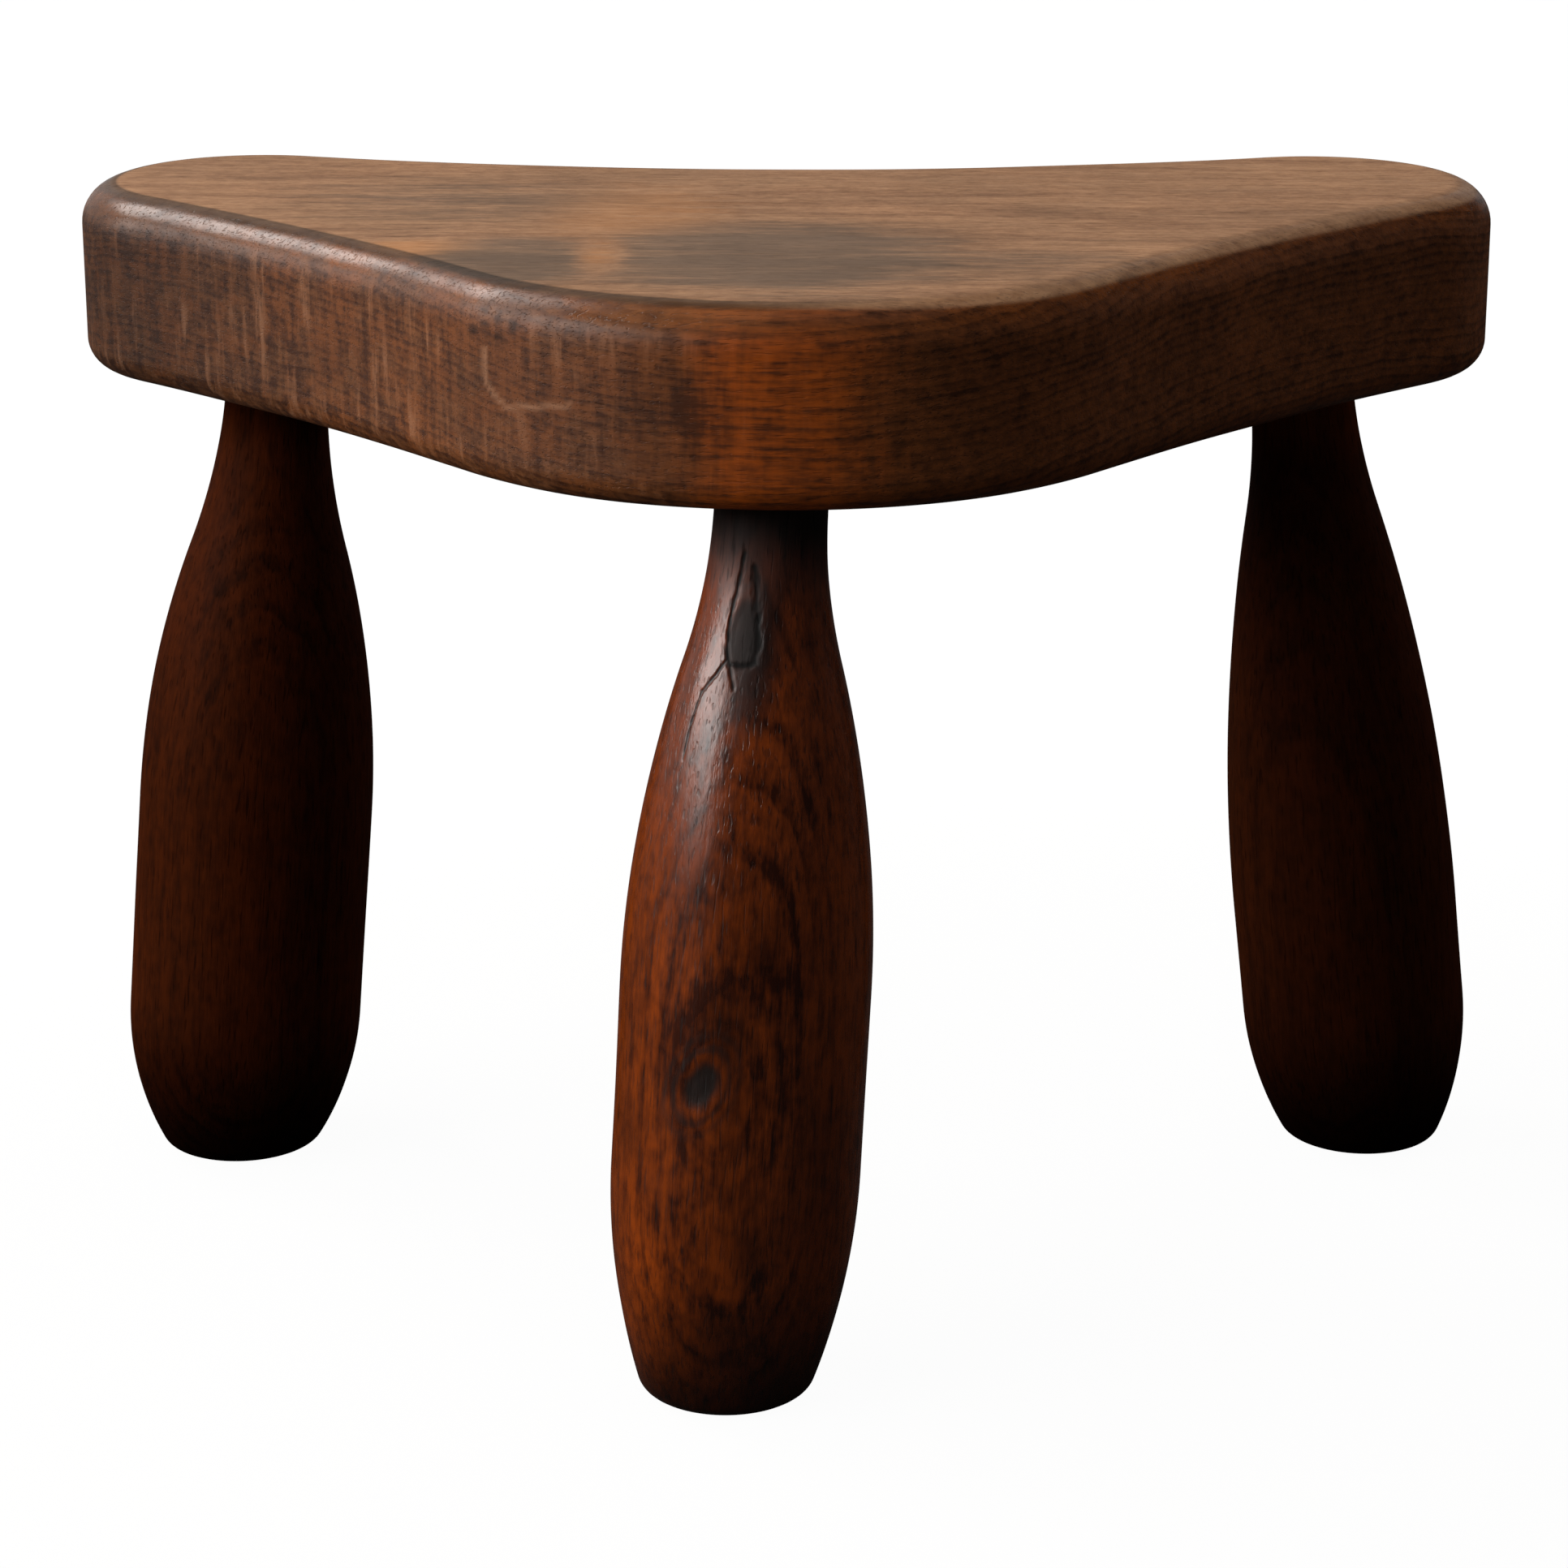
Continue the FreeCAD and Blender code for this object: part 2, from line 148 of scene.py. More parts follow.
class StoolColours(bpy.types.PropertyGroup):
    """Colours of the stained wood, before light and wax."""

    seat_top: colour("Seat top", "Rubbed wood on top of the seat", (0.362, 0.192, 0.096))
    seat_top_dark: colour("Seat top grain", "Dark lines in the top's grain", (0.185, 0.082, 0.036))
    seat_amber: colour("Seat amber", "Warm figure in the top", (0.42, 0.178, 0.058))
    seat_smoke: colour("Smoky heart", "Grey stain in the middle of the top", (0.125, 0.082, 0.053))
    seat_side: colour("Seat side", "Stained wood round the seat's edge", (0.168, 0.045, 0.008))
    # Greyer patches, mostly on the left side: partly greyer wood, partly painted sheen of the light from the
    # left
    seat_side_grey_sheen: colour("Seat side bloom", "Greyer patches round the seat's edge", (0.143, 0.052, 0.0175))
    seat_side_dark: colour("Seat side grain", "Dark lines round the seat's edge", (0.05, 0.014, 0.0035))
    # Warm front wood, made brighter than the rest of the edge as painted light
    seat_lit_glow: colour("Seat glow", "Warm wood in the front lobe's edge", (0.37, 0.07, 0.003))
    # Pale marks: the scuff, and the rubbed streaks and scraper marks on the left, which are partly painted
    # highlight
    seat_scrape: colour("Seat scrapes", "Pale marks left by the scraper", (0.26, 0.115, 0.055))
    front_light: colour("Front leg", "Light rings of the front leg", (0.178, 0.0295, 0.0016))
    front_dark: colour("Front leg grain", "Dark rings of the front leg", (0.027, 0.0045, 0.0009))
    # The left and right legs are darker than the front one partly as painted shade: they stand back under
    # the seat, out of the light
    left_light: colour("Left leg", "Light rings of the left leg", (0.038, 0.007, 0.0012))
    left_dark: colour("Left leg grain", "Dark rings of the left leg", (0.013, 0.003, 0.001))
    right_light: colour("Right leg", "Light rings of the right leg", (0.034, 0.007, 0.0015))
    right_dark: colour("Right leg grain", "Dark rings of the right leg", (0.016, 0.004, 0.0013))
    knot: colour("Knot", "Dark heart of a knot", (0.008, 0.005, 0.004))
    knot_face: colour("Knot face", "Grey cut face of the long knot", (0.02, 0.016, 0.015))
    wedge: colour("Wedge", "Raw wood of the hidden wedges", (0.42, 0.28, 0.15))
    floor: colour("Floor", "Paper that the stool stands on", (0.03, 0.029, 0.028))


# Mesh helpers

class Surface:
    """Points and faces gathered for one mesh."""

    def __init__(self):
        self.blocks = []
        self.faces = []
        self.count = 0

    def add_points(self, points):
        """Adds rows of three numbers and gives their indices."""
        points = np.asarray(points, float).reshape(-1, 3)
        self.blocks.append(points)
        indices = np.arange(self.count, self.count + len(points))
        self.count += len(points)
        return indices

    def join_rings(self, first, second):
        """Quads between two closed rings of equal count."""
        after_first, after_second = np.roll(first, -1), np.roll(second, -1)
        self.faces += np.stack((first, after_first, after_second, second), 1).tolist()

    def close_ring(self, ring, centre, flip=False):
        """Triangles from a ring to one centre point."""
        hub = np.full(len(ring), self.add_points([centre])[0])
        after = np.roll(ring, -1)
        order = (after, ring, hub) if flip else (ring, after, hub)
        self.faces += np.stack(order, 1).tolist()

    def points(self):
        return np.concatenate(self.blocks)

    def mesh(self, name):
        mesh = bpy.data.meshes.new(name)
        mesh.from_pydata(self.points().tolist(), [], self.faces)
        mesh.validate()
        mesh.shade_smooth()
        return mesh


def smooth_step(low, high, value):
    t = np.clip((value - low) / (high - low), 0, 1)
    return t * t * (3 - 2 * t)


def rolling(points, wavelength):
    """Gentle waves from 0 to 1 through space, the same at each run, with a wavelength for each axis."""
    scaled = np.asarray(points) / np.asarray(wavelength)
    return np.array([0.5 + 0.5 * noise.noise(Vector(p)) for p in scaled.tolist()])


def to_polyline(u, v, corners):
    """Distance from points to a smooth line through a few corners, in the same flat measure."""
    line = np.array(corners, float)
    for _ in range(2):
        # Each corner is cut off a quarter of the way along its two sides
        cut = np.stack((0.75 * line[:-1] + 0.25 * line[1:], 0.25 * line[:-1] + 0.75 * line[1:]), 1)
        line = np.concatenate((line[:1], cut.reshape(-1, 2), line[-1:]))
    nearest = np.full(len(u), np.inf)
    for (x0, y0), (x1, y1) in zip(line, line[1:]):
        dx, dy = x1 - x0, y1 - y0
        t = np.clip(((u - x0) * dx + (v - y0) * dy) / (dx * dx + dy * dy), 0, 1)
        nearest = np.minimum(nearest, np.hypot(u - x0 - t * dx, v - y0 - t * dy))
    return nearest


def graded(start, stop, coarse, fine, bands):
    """Rising steps from start to stop, fine inside the bands and coarse elsewhere."""
    steps = [start]
    while steps[-1] < stop:
        close = any(low <= steps[-1] <= high for low, high in bands)
        steps.append(steps[-1] + (fine if close else coarse))
    steps = np.array(steps)
    return start + (steps - start) * (stop - start) / (steps[-1] - start)


def set_values(mesh, name, values):
    """A named value at each point, for the material to read."""
    attribute = mesh.attributes.new(name, "FLOAT", "POINT")
    attribute.data.foreach_set("value", np.asarray(values, np.float32))


def mesh_points(mesh):
    flat = np.empty(len(mesh.vertices) * 3)
    mesh.vertices.foreach_get("co", flat)
    return flat.reshape(-1, 3)


def add_piece(name, mesh, material, node):
    """A piece of the stool that stands for one construction node."""
    mesh.materials.append(material)
    piece = bpy.data.objects.new(name, mesh)
    bpy.context.scene.collection.objects.link(piece)
    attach(piece, "root")
    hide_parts(node)
    return piece


# Node helpers

class Nodes:
    """The nodes of a material or a world, with short ways to add and join them."""

    def __init__(self, owner):
        owner.use_nodes = True
        self.tree = owner.node_tree
        self.tree.nodes.clear()

    def add(self, kind, **settings):
        node = self.tree.nodes.new(kind)
        for key, value in settings.items():
            setattr(node, key, value)
        return node

    def feed(self, socket, value):
        """Joins a socket to another one, or sets it to a plain value."""
        if isinstance(value, bpy.types.NodeSocket):
            self.tree.links.new(value, socket)
        elif socket.type == "RGBA" and len(value) == 3:
            socket.default_value = (*value, 1.0)
        else:
            socket.default_value = value

    def math(self, operation, *terms, clamp=False):
        node = self.add("ShaderNodeMath", operation=operation, use_clamp=clamp)
        for socket, term in zip(node.inputs, terms):
            self.feed(socket, term)
        return node.outputs[0]

    def total(self, first, *terms):
        for term in terms:
            first = self.math("ADD", first, term)
        return first

    def product(self, first, *terms):
        for term in terms:
            first = self.math("MULTIPLY", first, term)
        return first

    def swing(self, cloudy, amount):
        """A cloudy value as a swing about 0, at most half the amount each way."""
        return self.math("MULTIPLY", self.math("SUBTRACT", cloudy, 0.5), amount)

    def level(self, value, gain, start, clamp=False):
        """A value times a gain, from a start."""
        return self.math("MULTIPLY_ADD", value, gain, start, clamp=clamp)

    def vector(self, operation, *terms):
        node = self.add("ShaderNodeVectorMath", operation=operation)
        for socket, term in zip(node.inputs, terms):
            self.feed(socket, term)
        return node.outputs["Value" if operation in ("LENGTH", "DOT_PRODUCT") else "Vector"]

    def axes(self, vector):
        node = self.add("ShaderNodeSeparateXYZ")
        self.feed(node.inputs[0], vector)
        return node.outputs

    def noise(self, vector, stretch, detail=2.0, roughness=0.5):
        """Cloudy value from 0 to 1, with a frequency for each axis."""
        node = self.add("ShaderNodeTexNoise")
        self.feed(node.inputs["Vector"], self.vector("MULTIPLY", vector, stretch))
        self.feed(node.inputs["Scale"], 1.0)
        self.feed(node.inputs["Detail"], detail)
        self.feed(node.inputs["Roughness"], roughness)
        return node.outputs["Fac"]

    def random(self, value):
        node = self.add("ShaderNodeTexWhiteNoise", noise_dimensions="1D")
        self.feed(node.inputs["W"], value)
        return node.outputs["Value"]

    def smooth(self, value, low, high, to_low=0.0, to_high=1.0):
        """Soft step from one level to another as a value passes from low to high."""
        node = self.add("ShaderNodeMapRange", interpolation_type="SMOOTHSTEP")
        for name, term in (("Value", value), ("From Min", low), ("From Max", high),
                           ("To Min", to_low), ("To Max", to_high)):
            self.feed(node.inputs[name], term)
        return node.outputs["Result"]

    def mix(self, factor, first, second):
        node = self.add("ShaderNodeMix", data_type="RGBA")
        self.feed(node.inputs[0], factor)
        self.feed(node.inputs[6], first)
        self.feed(node.inputs[7], second)
        return node.outputs[2]

    def shade(self, colour_in, amount):
        """A colour made lighter or darker by a factor."""
        node = self.add("ShaderNodeVectorMath", operation="SCALE")
        self.feed(node.inputs[0], colour_in)
        self.feed(node.inputs["Scale"], amount)
        return node.outputs["Vector"]

    def seen(self):
        """1 for what the camera sees, straight or through clear pieces, and 0 for other light."""
        path = self.add("ShaderNodeLightPath").outputs
        return self.math("MAXIMUM", path["Is Camera Ray"], path["Is Transmission Ray"])


class Finish(Nodes):
    """A material of the stool or its stage."""

    def __init__(self, name):
        self.material = bpy.data.materials.new(name)
        super().__init__(self.material)

    def value_of(self, name):
        return self.add("ShaderNodeAttribute", attribute_name=name).outputs["Fac"]

    def grain_mm(self, matrix):
        """Place in a piece's own frame in millimetres. X of that frame runs along the grain."""
        where = self.add("ShaderNodeTexCoord").outputs["Object"]
        mapping = self.add("ShaderNodeMapping", vector_type="TEXTURE")
        self.feed(mapping.inputs["Vector"], where)
        self.feed(mapping.inputs["Location"], matrix.to_translation())
        self.feed(mapping.inputs["Rotation"], matrix.to_euler())
        self.feed(mapping.inputs["Scale"], (MM, MM, MM))
        return mapping.outputs["Vector"]

    def finish(self, base, roughness, height, depth, **shine):
        """Ends the material in one shader. The shine is the same all over, so it is set on the shader."""
        shader = self.add("ShaderNodeBsdfPrincipled")
        self.feed(shader.inputs["Base Color"], base)
        self.feed(shader.inputs["Roughness"], roughness)
        for name, value in shine.items():
            self.feed(shader.inputs[name.replace("_", " ").title().replace("Ior", "IOR")], value)
        bump = self.add("ShaderNodeBump")
        self.feed(bump.inputs["Strength"], 1.0)
        self.feed(bump.inputs["Distance"], depth)
        self.feed(bump.inputs["Height"], height)
        self.feed(shader.inputs["Normal"], bump.outputs["Normal"])
        output = self.add("ShaderNodeOutputMaterial")
        self.feed(output.inputs["Surface"], shader.outputs["BSDF"])
        return self.material


def growth_rings(wood, grain, pith, spacing, wander, shift=0.0):
    """Dark late wood of each year, from 0 to 1, round a pith that runs along the grain."""
    across = wood.vector("MULTIPLY", wood.vector("SUBTRACT", grain, (0.0, *pith)), (0.0, 1.0, 1.0))
    slow = wood.swing(wood.noise(grain, (0.004, 0.014, 0.014)), wander)
    quick = wood.swing(wood.noise(grain, (0.03, 0.13, 0.13)), 2.2)
    reach = wood.total(wood.vector("LENGTH", across), slow, quick, shift)
    year = wood.math("DIVIDE", reach, spacing)
    part = wood.math("FRACT", year)
    late = wood.product(wood.smooth(part, 0.25, 0.82), wood.smooth(part, 0.86, 1.0, 1.0, 0.0))
    strength = wood.level(wood.random(wood.math("FLOOR", year)), 0.65, 0.35)
    return wood.product(late, strength)


def fibre(wood, grain, long, wide):
    """Streaks along the grain, from 0 to 1, about so many millimetres long and wide."""
    return wood.noise(grain, (1 / long, 1 / wide, 1 / wide), 3.0, 0.62)


def pores(wood, grain, long, wide):
    """Short open vessels along the grain, 1 inside a vessel."""
    return wood.smooth(wood.noise(grain, (1 / long, 1 / wide, 1 / wide), 1.0, 0.4), 0.6, 0.7)


# Seat

# Steps of the seat's mesh: along its outline, down its rounded edges and its side, round a socket, and
# over its top and its underside
OUTLINE_STEP = 1.3 * MM
EDGE_STEPS = 12
SIDE_STEPS = 26
SOCKET_STEPS = 64
TOP_STEP = 3 * MM
UNDERSIDE_STEP = 4 * MM
# Lengths of the waves that hand tools left in it, along, across and up, and the share of each in the depth
SEAT_WAVES = (52 * MM, 40 * MM, 60 * MM)
SEAT_CHATTER = (5 * MM, 5 * MM, 90 * MM)
WAVE_SHARE, CHATTER_SHARE = 0.8, 0.3

# Marks on the seat are in millimetres along and across it from the middle of the front lobe, and above the
# floor. Stains on the top: strength, middle, half length, half width and softness of the rim.
SMOKE = (
    (1.0, -2, -40, 50, 48, 0.55),
    (0.95, -70, -46, 26, 30, 0.5),
    (0.45, 52, -46, 60, 26, 0.8),
    (0.6, -88, 38, 44, 36, 0.8),
)
SMOKE_GAP = (0.9, -49, -40, 6, 20, 0.7)
AMBER = (
    (1.0, -100, -32, 24, 12, 0.7),
    (0.8, -44, 24, 30, 42, 0.7),
    (0.8, -49, -40, 5, 18, 0.8),
)
# The stains reach this far down the rounded edge
STAIN_DROP = 10
# The front of the seat fades in over this stretch towards the front leg
FRONT = (60, 100)
# Warm glow in the front edge, warmer wood made brighter as painted light: where it rises and where it falls
# along the seat
LIT_GLOW_RISE, LIT_GLOW_FALL = (-34, -6), (-2, 41)
# Dark cloud beside the glow: middle along the seat and above the floor, and its spread both ways
CLOUD_MIDDLE, CLOUD_SPREAD = (-29, 275), (11, 8)
# Pale scuff on the front of the left side, along the seat and above the floor
SCUFF = ((-77, 283), (-77, 275), (-76, 273), (-72, 269), (-70, 269), (-54, 272))
SCUFF_RIM = (0.15, 1.1)
# Small dark pits above it, measured in the same way, and how much longer than high they are
PITS = ((-80, 287), (-77, 289), (-73, 287), (-69, 290))
PIT_RIM = (0.3, 1.7)
PIT_STRETCH = 1.4
# Stretches along the seat where its looks change: at the left end, which is darker as painted shade, over
# the left side, and from there to the front, where the left side's painted sheen and scraper marks fade out
LEFT_END_SHADE = (-205.0, -90.0)
FAR_LEFT = (-150.0, -60.0)
NEAR_LEFT = (-60.0, 30.0)
# Turn of the grain from the seat's long way, and depth of its pores and scraper marks
SEAT_GRAIN_TURN = math.radians(-1.2)
SEAT_GRAIN_DEPTH = 0.12 * MM


def outer_centre(first, first_reach, second, second_reach):
    """Centre at both reaches, on the right of the way from first to second."""
    along = second - first
    gap = np.hypot(*along)
    along = along / gap
    step = (first_reach**2 - second_reach**2 + gap**2) / (2 * gap)
    rise = math.sqrt(first_reach**2 - step**2)
    return first + along * step + np.array((along[1], -along[0])) * rise


def arc_points(centre, radius, start, sweep, step):
    """Points along an arc without its last one, and the way out from its centre at each."""
    count = max(2, round(abs(sweep) * radius / step))
    angles = start + sweep * np.arange(count) / count
    way = np.stack((np.cos(angles), np.sin(angles)), 1)
    return centre + radius * way, way


def seat_outline(sizes, step):
    """Points round the seat in plan and the outward way at each, anticlockwise."""
    rear = sizes.rear_lobe_radius
    corner = np.array((SEAT_HIGH.x - rear, SEAT_HIGH.y - rear))
    lobes = [(np.zeros(2), sizes.front_lobe_radius), (corner, rear), (corner * (-1, 1), rear)]
    hollows = [sizes.side_waist_radius, sizes.rear_waist_radius, sizes.side_waist_radius]
    waists = []
    for k, hollow in enumerate(hollows):
        (first, first_radius), (second, second_radius) = lobes[k], lobes[(k + 1) % 3]
        waists.append(outer_centre(first, first_radius + hollow, second, second_radius + hollow))

    def heading(origin, target):
        return math.atan2(*(target - origin)[::-1])

    points, outward = [], []
    for k, (centre, radius) in enumerate(lobes):
        start = heading(centre, waists[k - 1])
        sweep = (heading(centre, waists[k]) - start) % math.tau
        arc, way = arc_points(centre, radius, start, sweep, step)
        points.append(arc)
        outward.append(way)
        start = heading(waists[k], centre)
        sweep = (start - heading(waists[k], lobes[(k + 1) % 3][0])) % math.tau
        arc, way = arc_points(waists[k], hollows[k], start, -sweep, step)
        points.append(arc)
        outward.append(-way)
    return np.concatenate(points), np.concatenate(outward)


def edge_rows(sizes, round_steps, side_steps):
    """Rows down the seat's edge: inset from the outline, height, and the normal's elevation."""
    top, bottom = SEAT_HIGH.z, SEAT_LOW.z
    upper, lower = sizes.top_edge_round, sizes.lower_edge_round
    rows = []
    for turn in np.linspace(math.pi / 2, 0, round_steps, endpoint=False):
        rows.append((upper - upper * math.cos(turn), top - upper + upper * math.sin(turn), turn))
    for height in np.linspace(top - upper, bottom + lower, side_steps, endpoint=False):
        rows.append((0.0, height, 0.0))
    for turn in np.linspace(0, math.pi / 2, round_steps):
        rows.append((lower - lower * math.cos(turn), bottom + lower - lower * math.sin(turn), -turn))
    return rows


def inside_points(loop, holes, step):
    """Grid points inside a loop and outside its holes, clear of their edges."""
    low, high = loop.min(0), loop.max(0)
    grid = np.stack(np.meshgrid(np.arange(low[0], high[0], step), np.arange(low[1], high[1], step)), -1)
    grid[1::2, :, 0] += step / 2
    grid = grid.reshape(-1, 2)
    inside = np.zeros(len(grid), bool)
    for (x0, y0), (x1, y1) in zip(loop, np.roll(loop, -1, 0)):
        crosses = (y0 > grid[:, 1]) != (y1 > grid[:, 1])
        at = x0 + (grid[:, 1] - y0) / (y1 - y0 if y1 != y0 else 1.0) * (x1 - x0)
        inside ^= crosses & (grid[:, 0] < at)
    edges = np.concatenate([loop, *holes])
    gap = np.array([np.hypot(*(edges - p).T).min() for p in grid])
    keep = inside & (gap > step * 0.6)
    for hole in holes:
        centre = hole.mean(0)
        keep &= np.hypot(*(grid - centre).T) > np.hypot(*(hole - centre).T).max()
    return grid[keep]


def fill_flat(surface, ring, holes, height, step, up):
    """Triangles over a flat face between its outer ring and the rings of its holes."""
    points = surface.points()
    loops = [points[indices][:, :2] for indices in (ring, *holes)]
    middle = inside_points(loops[0], loops[1:], step)
    added = surface.add_points(np.column_stack((middle, np.full(len(middle), height))))
    indices = np.concatenate([ring, *holes, added])
    flat = np.concatenate([*loops, middle])
    edges, hole_of = [], []
    for number, loop in enumerate(loops):
        start, count = len(hole_of), len(loop)
        edges += [(start + k, start + (k + 1) % count) for k in range(count)]
        hole_of += [number] * count
    hole_of += [0] * len(middle)
    outer = [list(range(len(loops[0])))]
    result = delaunay_2d_cdt([Vector(p) for p in flat.tolist()], edges, outer, 1, 1e-9)
    triangles, sources = result[2], result[3]
    for triangle in triangles:
        corners = [sources[k][0] for k in triangle]
        rims = {hole_of[corner] for corner in corners}
        # A triangle with all its corners on the rim of one round hole lies in that hole
        if len(rims) == 1 and 0 not in rims:
            continue
        face = [int(indices[corner]) for corner in corners]
        surface.faces.append(face if up else face[::-1])


def leg_sizes(sizes, leg):
    return {name: getattr(sizes, f"{leg}_{name}") for name in LEG_ROWS}


def leg_matrix(leg):
    """Frame at a socket's mouth, +Z along the leg into the seat."""
    tilt_axis = Vector((-math.sin(leg["heading"]), math.cos(leg["heading"]), 0))
    mouth = Matrix.Translation((leg["x"], leg["y"], SEAT_LOW.z))
    return mouth @ Matrix.Rotation(-leg["splay"], 4, tilt_axis)


def tenon_reach(joint, leg):
    return (SEAT_HIGH.z - SEAT_LOW.z - joint.socket_roof) / math.cos(leg["splay"])


def socket_rings(joint, leg, count):
    """Rings of points on a socket's wall, from its mouth in the underside to its end."""
    matrix = leg_matrix(leg)
    axis = matrix.to_3x3() @ Vector((0, 0, 1))
    radius = joint.tenon_diameter / 2 + joint.socket_clearance
    mouth, end = [], []
    for turn in np.linspace(0, math.tau, count, endpoint=False):
        rim = matrix @ Vector((radius * math.cos(turn), radius * math.sin(turn), 0))
        mouth.append(rim - axis * ((rim.z - SEAT_LOW.z) / axis.z))
        end.append(rim + axis * tenon_reach(joint, leg))
    return np.array(mouth), np.array(end), matrix @ Vector((0, 0, tenon_reach(joint, leg)))


def seat_mesh(context):
    """The slab as one closed mesh, its surface a little uneven as hand tools leave it."""
    scene = context.scene
    sizes, joint = scene.stool_seat, scene.stool_joint
    surface = Surface()
    plan, outward = seat_outline(sizes, OUTLINE_STEP)
    rings, normals = [], []
    for inset, height, turn in edge_rows(sizes, EDGE_STEPS, SIDE_STEPS):
        flat = plan - outward * inset
        rings.append(surface.add_points(np.column_stack((flat, np.full(len(flat), height)))))
        normals.append(np.column_stack((outward * math.cos(turn), np.full(len(flat), math.sin(turn)))))
    for upper, lower in zip(rings, rings[1:]):
        surface.join_rings(lower, upper)

    mouths = []
    for name in LEGS:
        leg = leg_sizes(scene.stool_legs, name)
        mouth, end, centre = socket_rings(joint, leg, SOCKET_STEPS)
        mouths.append(surface.add_points(mouth))
        deep = surface.add_points(end)
        surface.join_rings(deep, mouths[-1])
        surface.close_ring(deep, centre, flip=True)
    fill_flat(surface, rings[0], [], SEAT_HIGH.z, TOP_STEP, True)
    fill_flat(surface, rings[-1], mouths, SEAT_LOW.z, UNDERSIDE_STEP, False)

    points = surface.points()
    out = np.zeros_like(points)
    out[:, 2] = np.where(points[:, 2] > (SEAT_LOW.z + SEAT_HIGH.z) / 2, 1.0, 0.0)
    out[np.concatenate(rings)] = np.concatenate(normals)
    out[rings[-1]] = 0.0
    broad = rolling(points, SEAT_WAVES)
    chatter = rolling(points, SEAT_CHATTER)
    upright = 1 - np.abs(out[:, 2])
    depth = sizes.surface_wave * (WAVE_SHARE * broad + CHATTER_SHARE * chatter * upright)
    surface.blocks = [points - out * depth[:, None]]
    mesh = surface.mesh("seat_slab")
    mesh.set_sharp_from_angle(angle=SHARP_ANGLE)
    set_seat_marks(mesh)
    return mesh


def set_seat_marks(mesh):
    """Where the seat's stains, warm places, which are partly painted light, and scuffs are, for its
    material.
    """
    x, y, z = (mesh_points(mesh) / MM).T
    on_top = z > SEAT_HIGH.z / MM - STAIN_DROP

    def stain(strength, middle_x, middle_y, half_x, half_y, soft):
        reach = np.hypot((x - middle_x) / half_x, (y - middle_y) / half_y)
        return strength * on_top * (1 - smooth_step(1 - soft, 1 + soft, reach))

    smoke = np.max([stain(*row) for row in SMOKE], 0)
    set_values(mesh, "smoke", smoke - stain(*SMOKE_GAP))
    set_values(mesh, "amber", np.max([stain(*row) for row in AMBER], 0))

    front = smooth_step(*FRONT, -y)
    # The glow is warmer wood on the front lobe's edge, made brighter as painted light
    glow = smooth_step(*LIT_GLOW_RISE, x) * (1 - smooth_step(*LIT_GLOW_FALL, x))
    set_values(mesh, "glow", front * glow)
    cloud = ((x - CLOUD_MIDDLE[0]) / CLOUD_SPREAD[0]) ** 2 + ((z - CLOUD_MIDDLE[1]) / CLOUD_SPREAD[1]) ** 2
    set_values(mesh, "shade", front * np.exp(-cloud))
    gap = to_polyline(x, z, SCUFF)
    set_values(mesh, "scuff", (y < 0) * (1 - smooth_step(*SCUFF_RIM, gap)))
    gap = np.min([np.hypot((x - pit_x) / PIT_STRETCH, z - pit_z) for pit_x, pit_z in PITS], 0)
    set_values(mesh, "pit", (y < 0) * (1 - smooth_step(*PIT_RIM, gap)))


def seat_grain(wood):
    """Place along the seat in millimetres, and the streaks and clouds of its wood, each from 0 to 1."""
    grain = wood.grain_mm(Matrix.Rotation(SEAT_GRAIN_TURN, 4, "Z"))
    return SimpleNamespace(
        along=wood.axes(grain)[0],
        rings=growth_rings(wood, grain, (20.0, -260.0), 2.4, 14.0),
        band=fibre(wood, grain, 150.0, 11.0),
        line=fibre(wood, grain, 18.0, 2.6),
        hair=fibre(wood, grain, 7.0, 1.0),
        vessel=pores(wood, grain, 7.0, 0.5),
        mottle=wood.noise(grain, (0.2, 0.25, 0.25)),
        speck=wood.noise(grain, (0.6, 0.7, 0.7)),
        cloud=wood.noise(grain, (0.009, 0.02, 0.02), 2.0, 0.55),
        blotch=wood.noise(grain, (0.024, 0.03, 0.05), 3.0, 0.6),
        scrape=wood.noise(grain, (0.3, 0.3, 0.035), 3.0, 0.6),
        stain=wood.noise(grain, (0.05, 0.05, 0.08), 3.0, 0.6),
    )


def seat_top_wood(wood, grain, colours):
    """Rubbed wood of the top, with warm figure and a smoky heart that fray along the grain."""
    lines = wood.total(wood.swing(grain.band, 1.1), wood.swing(grain.line, 1.0),
                       wood.swing(grain.hair, 0.4), wood.swing(grain.mottle, 0.9),
                       wood.swing(grain.speck, 0.7), wood.level(grain.rings, 0.3, 0.34))
    lines = wood.level(lines, 1.0, 0.0, clamp=True)
    base = wood.mix(lines, colours.seat_top, colours.seat_top_dark)
    ragged = wood.total(wood.swing(grain.band, 1.3), wood.swing(grain.line, 1.2),
                        wood.swing(grain.hair, 0.5))
    amber = wood.smooth(wood.total(wood.value_of("amber"), ragged), 0.2, 1.1, 0.0, 0.6)
    base = wood.mix(amber, base, colours.seat_amber)
    smoke = wood.smooth(wood.total(wood.value_of("smoke"), ragged), 0.05, 1.05, 0.0, 0.82)
    return wood.mix(smoke, base, colours.seat_smoke)


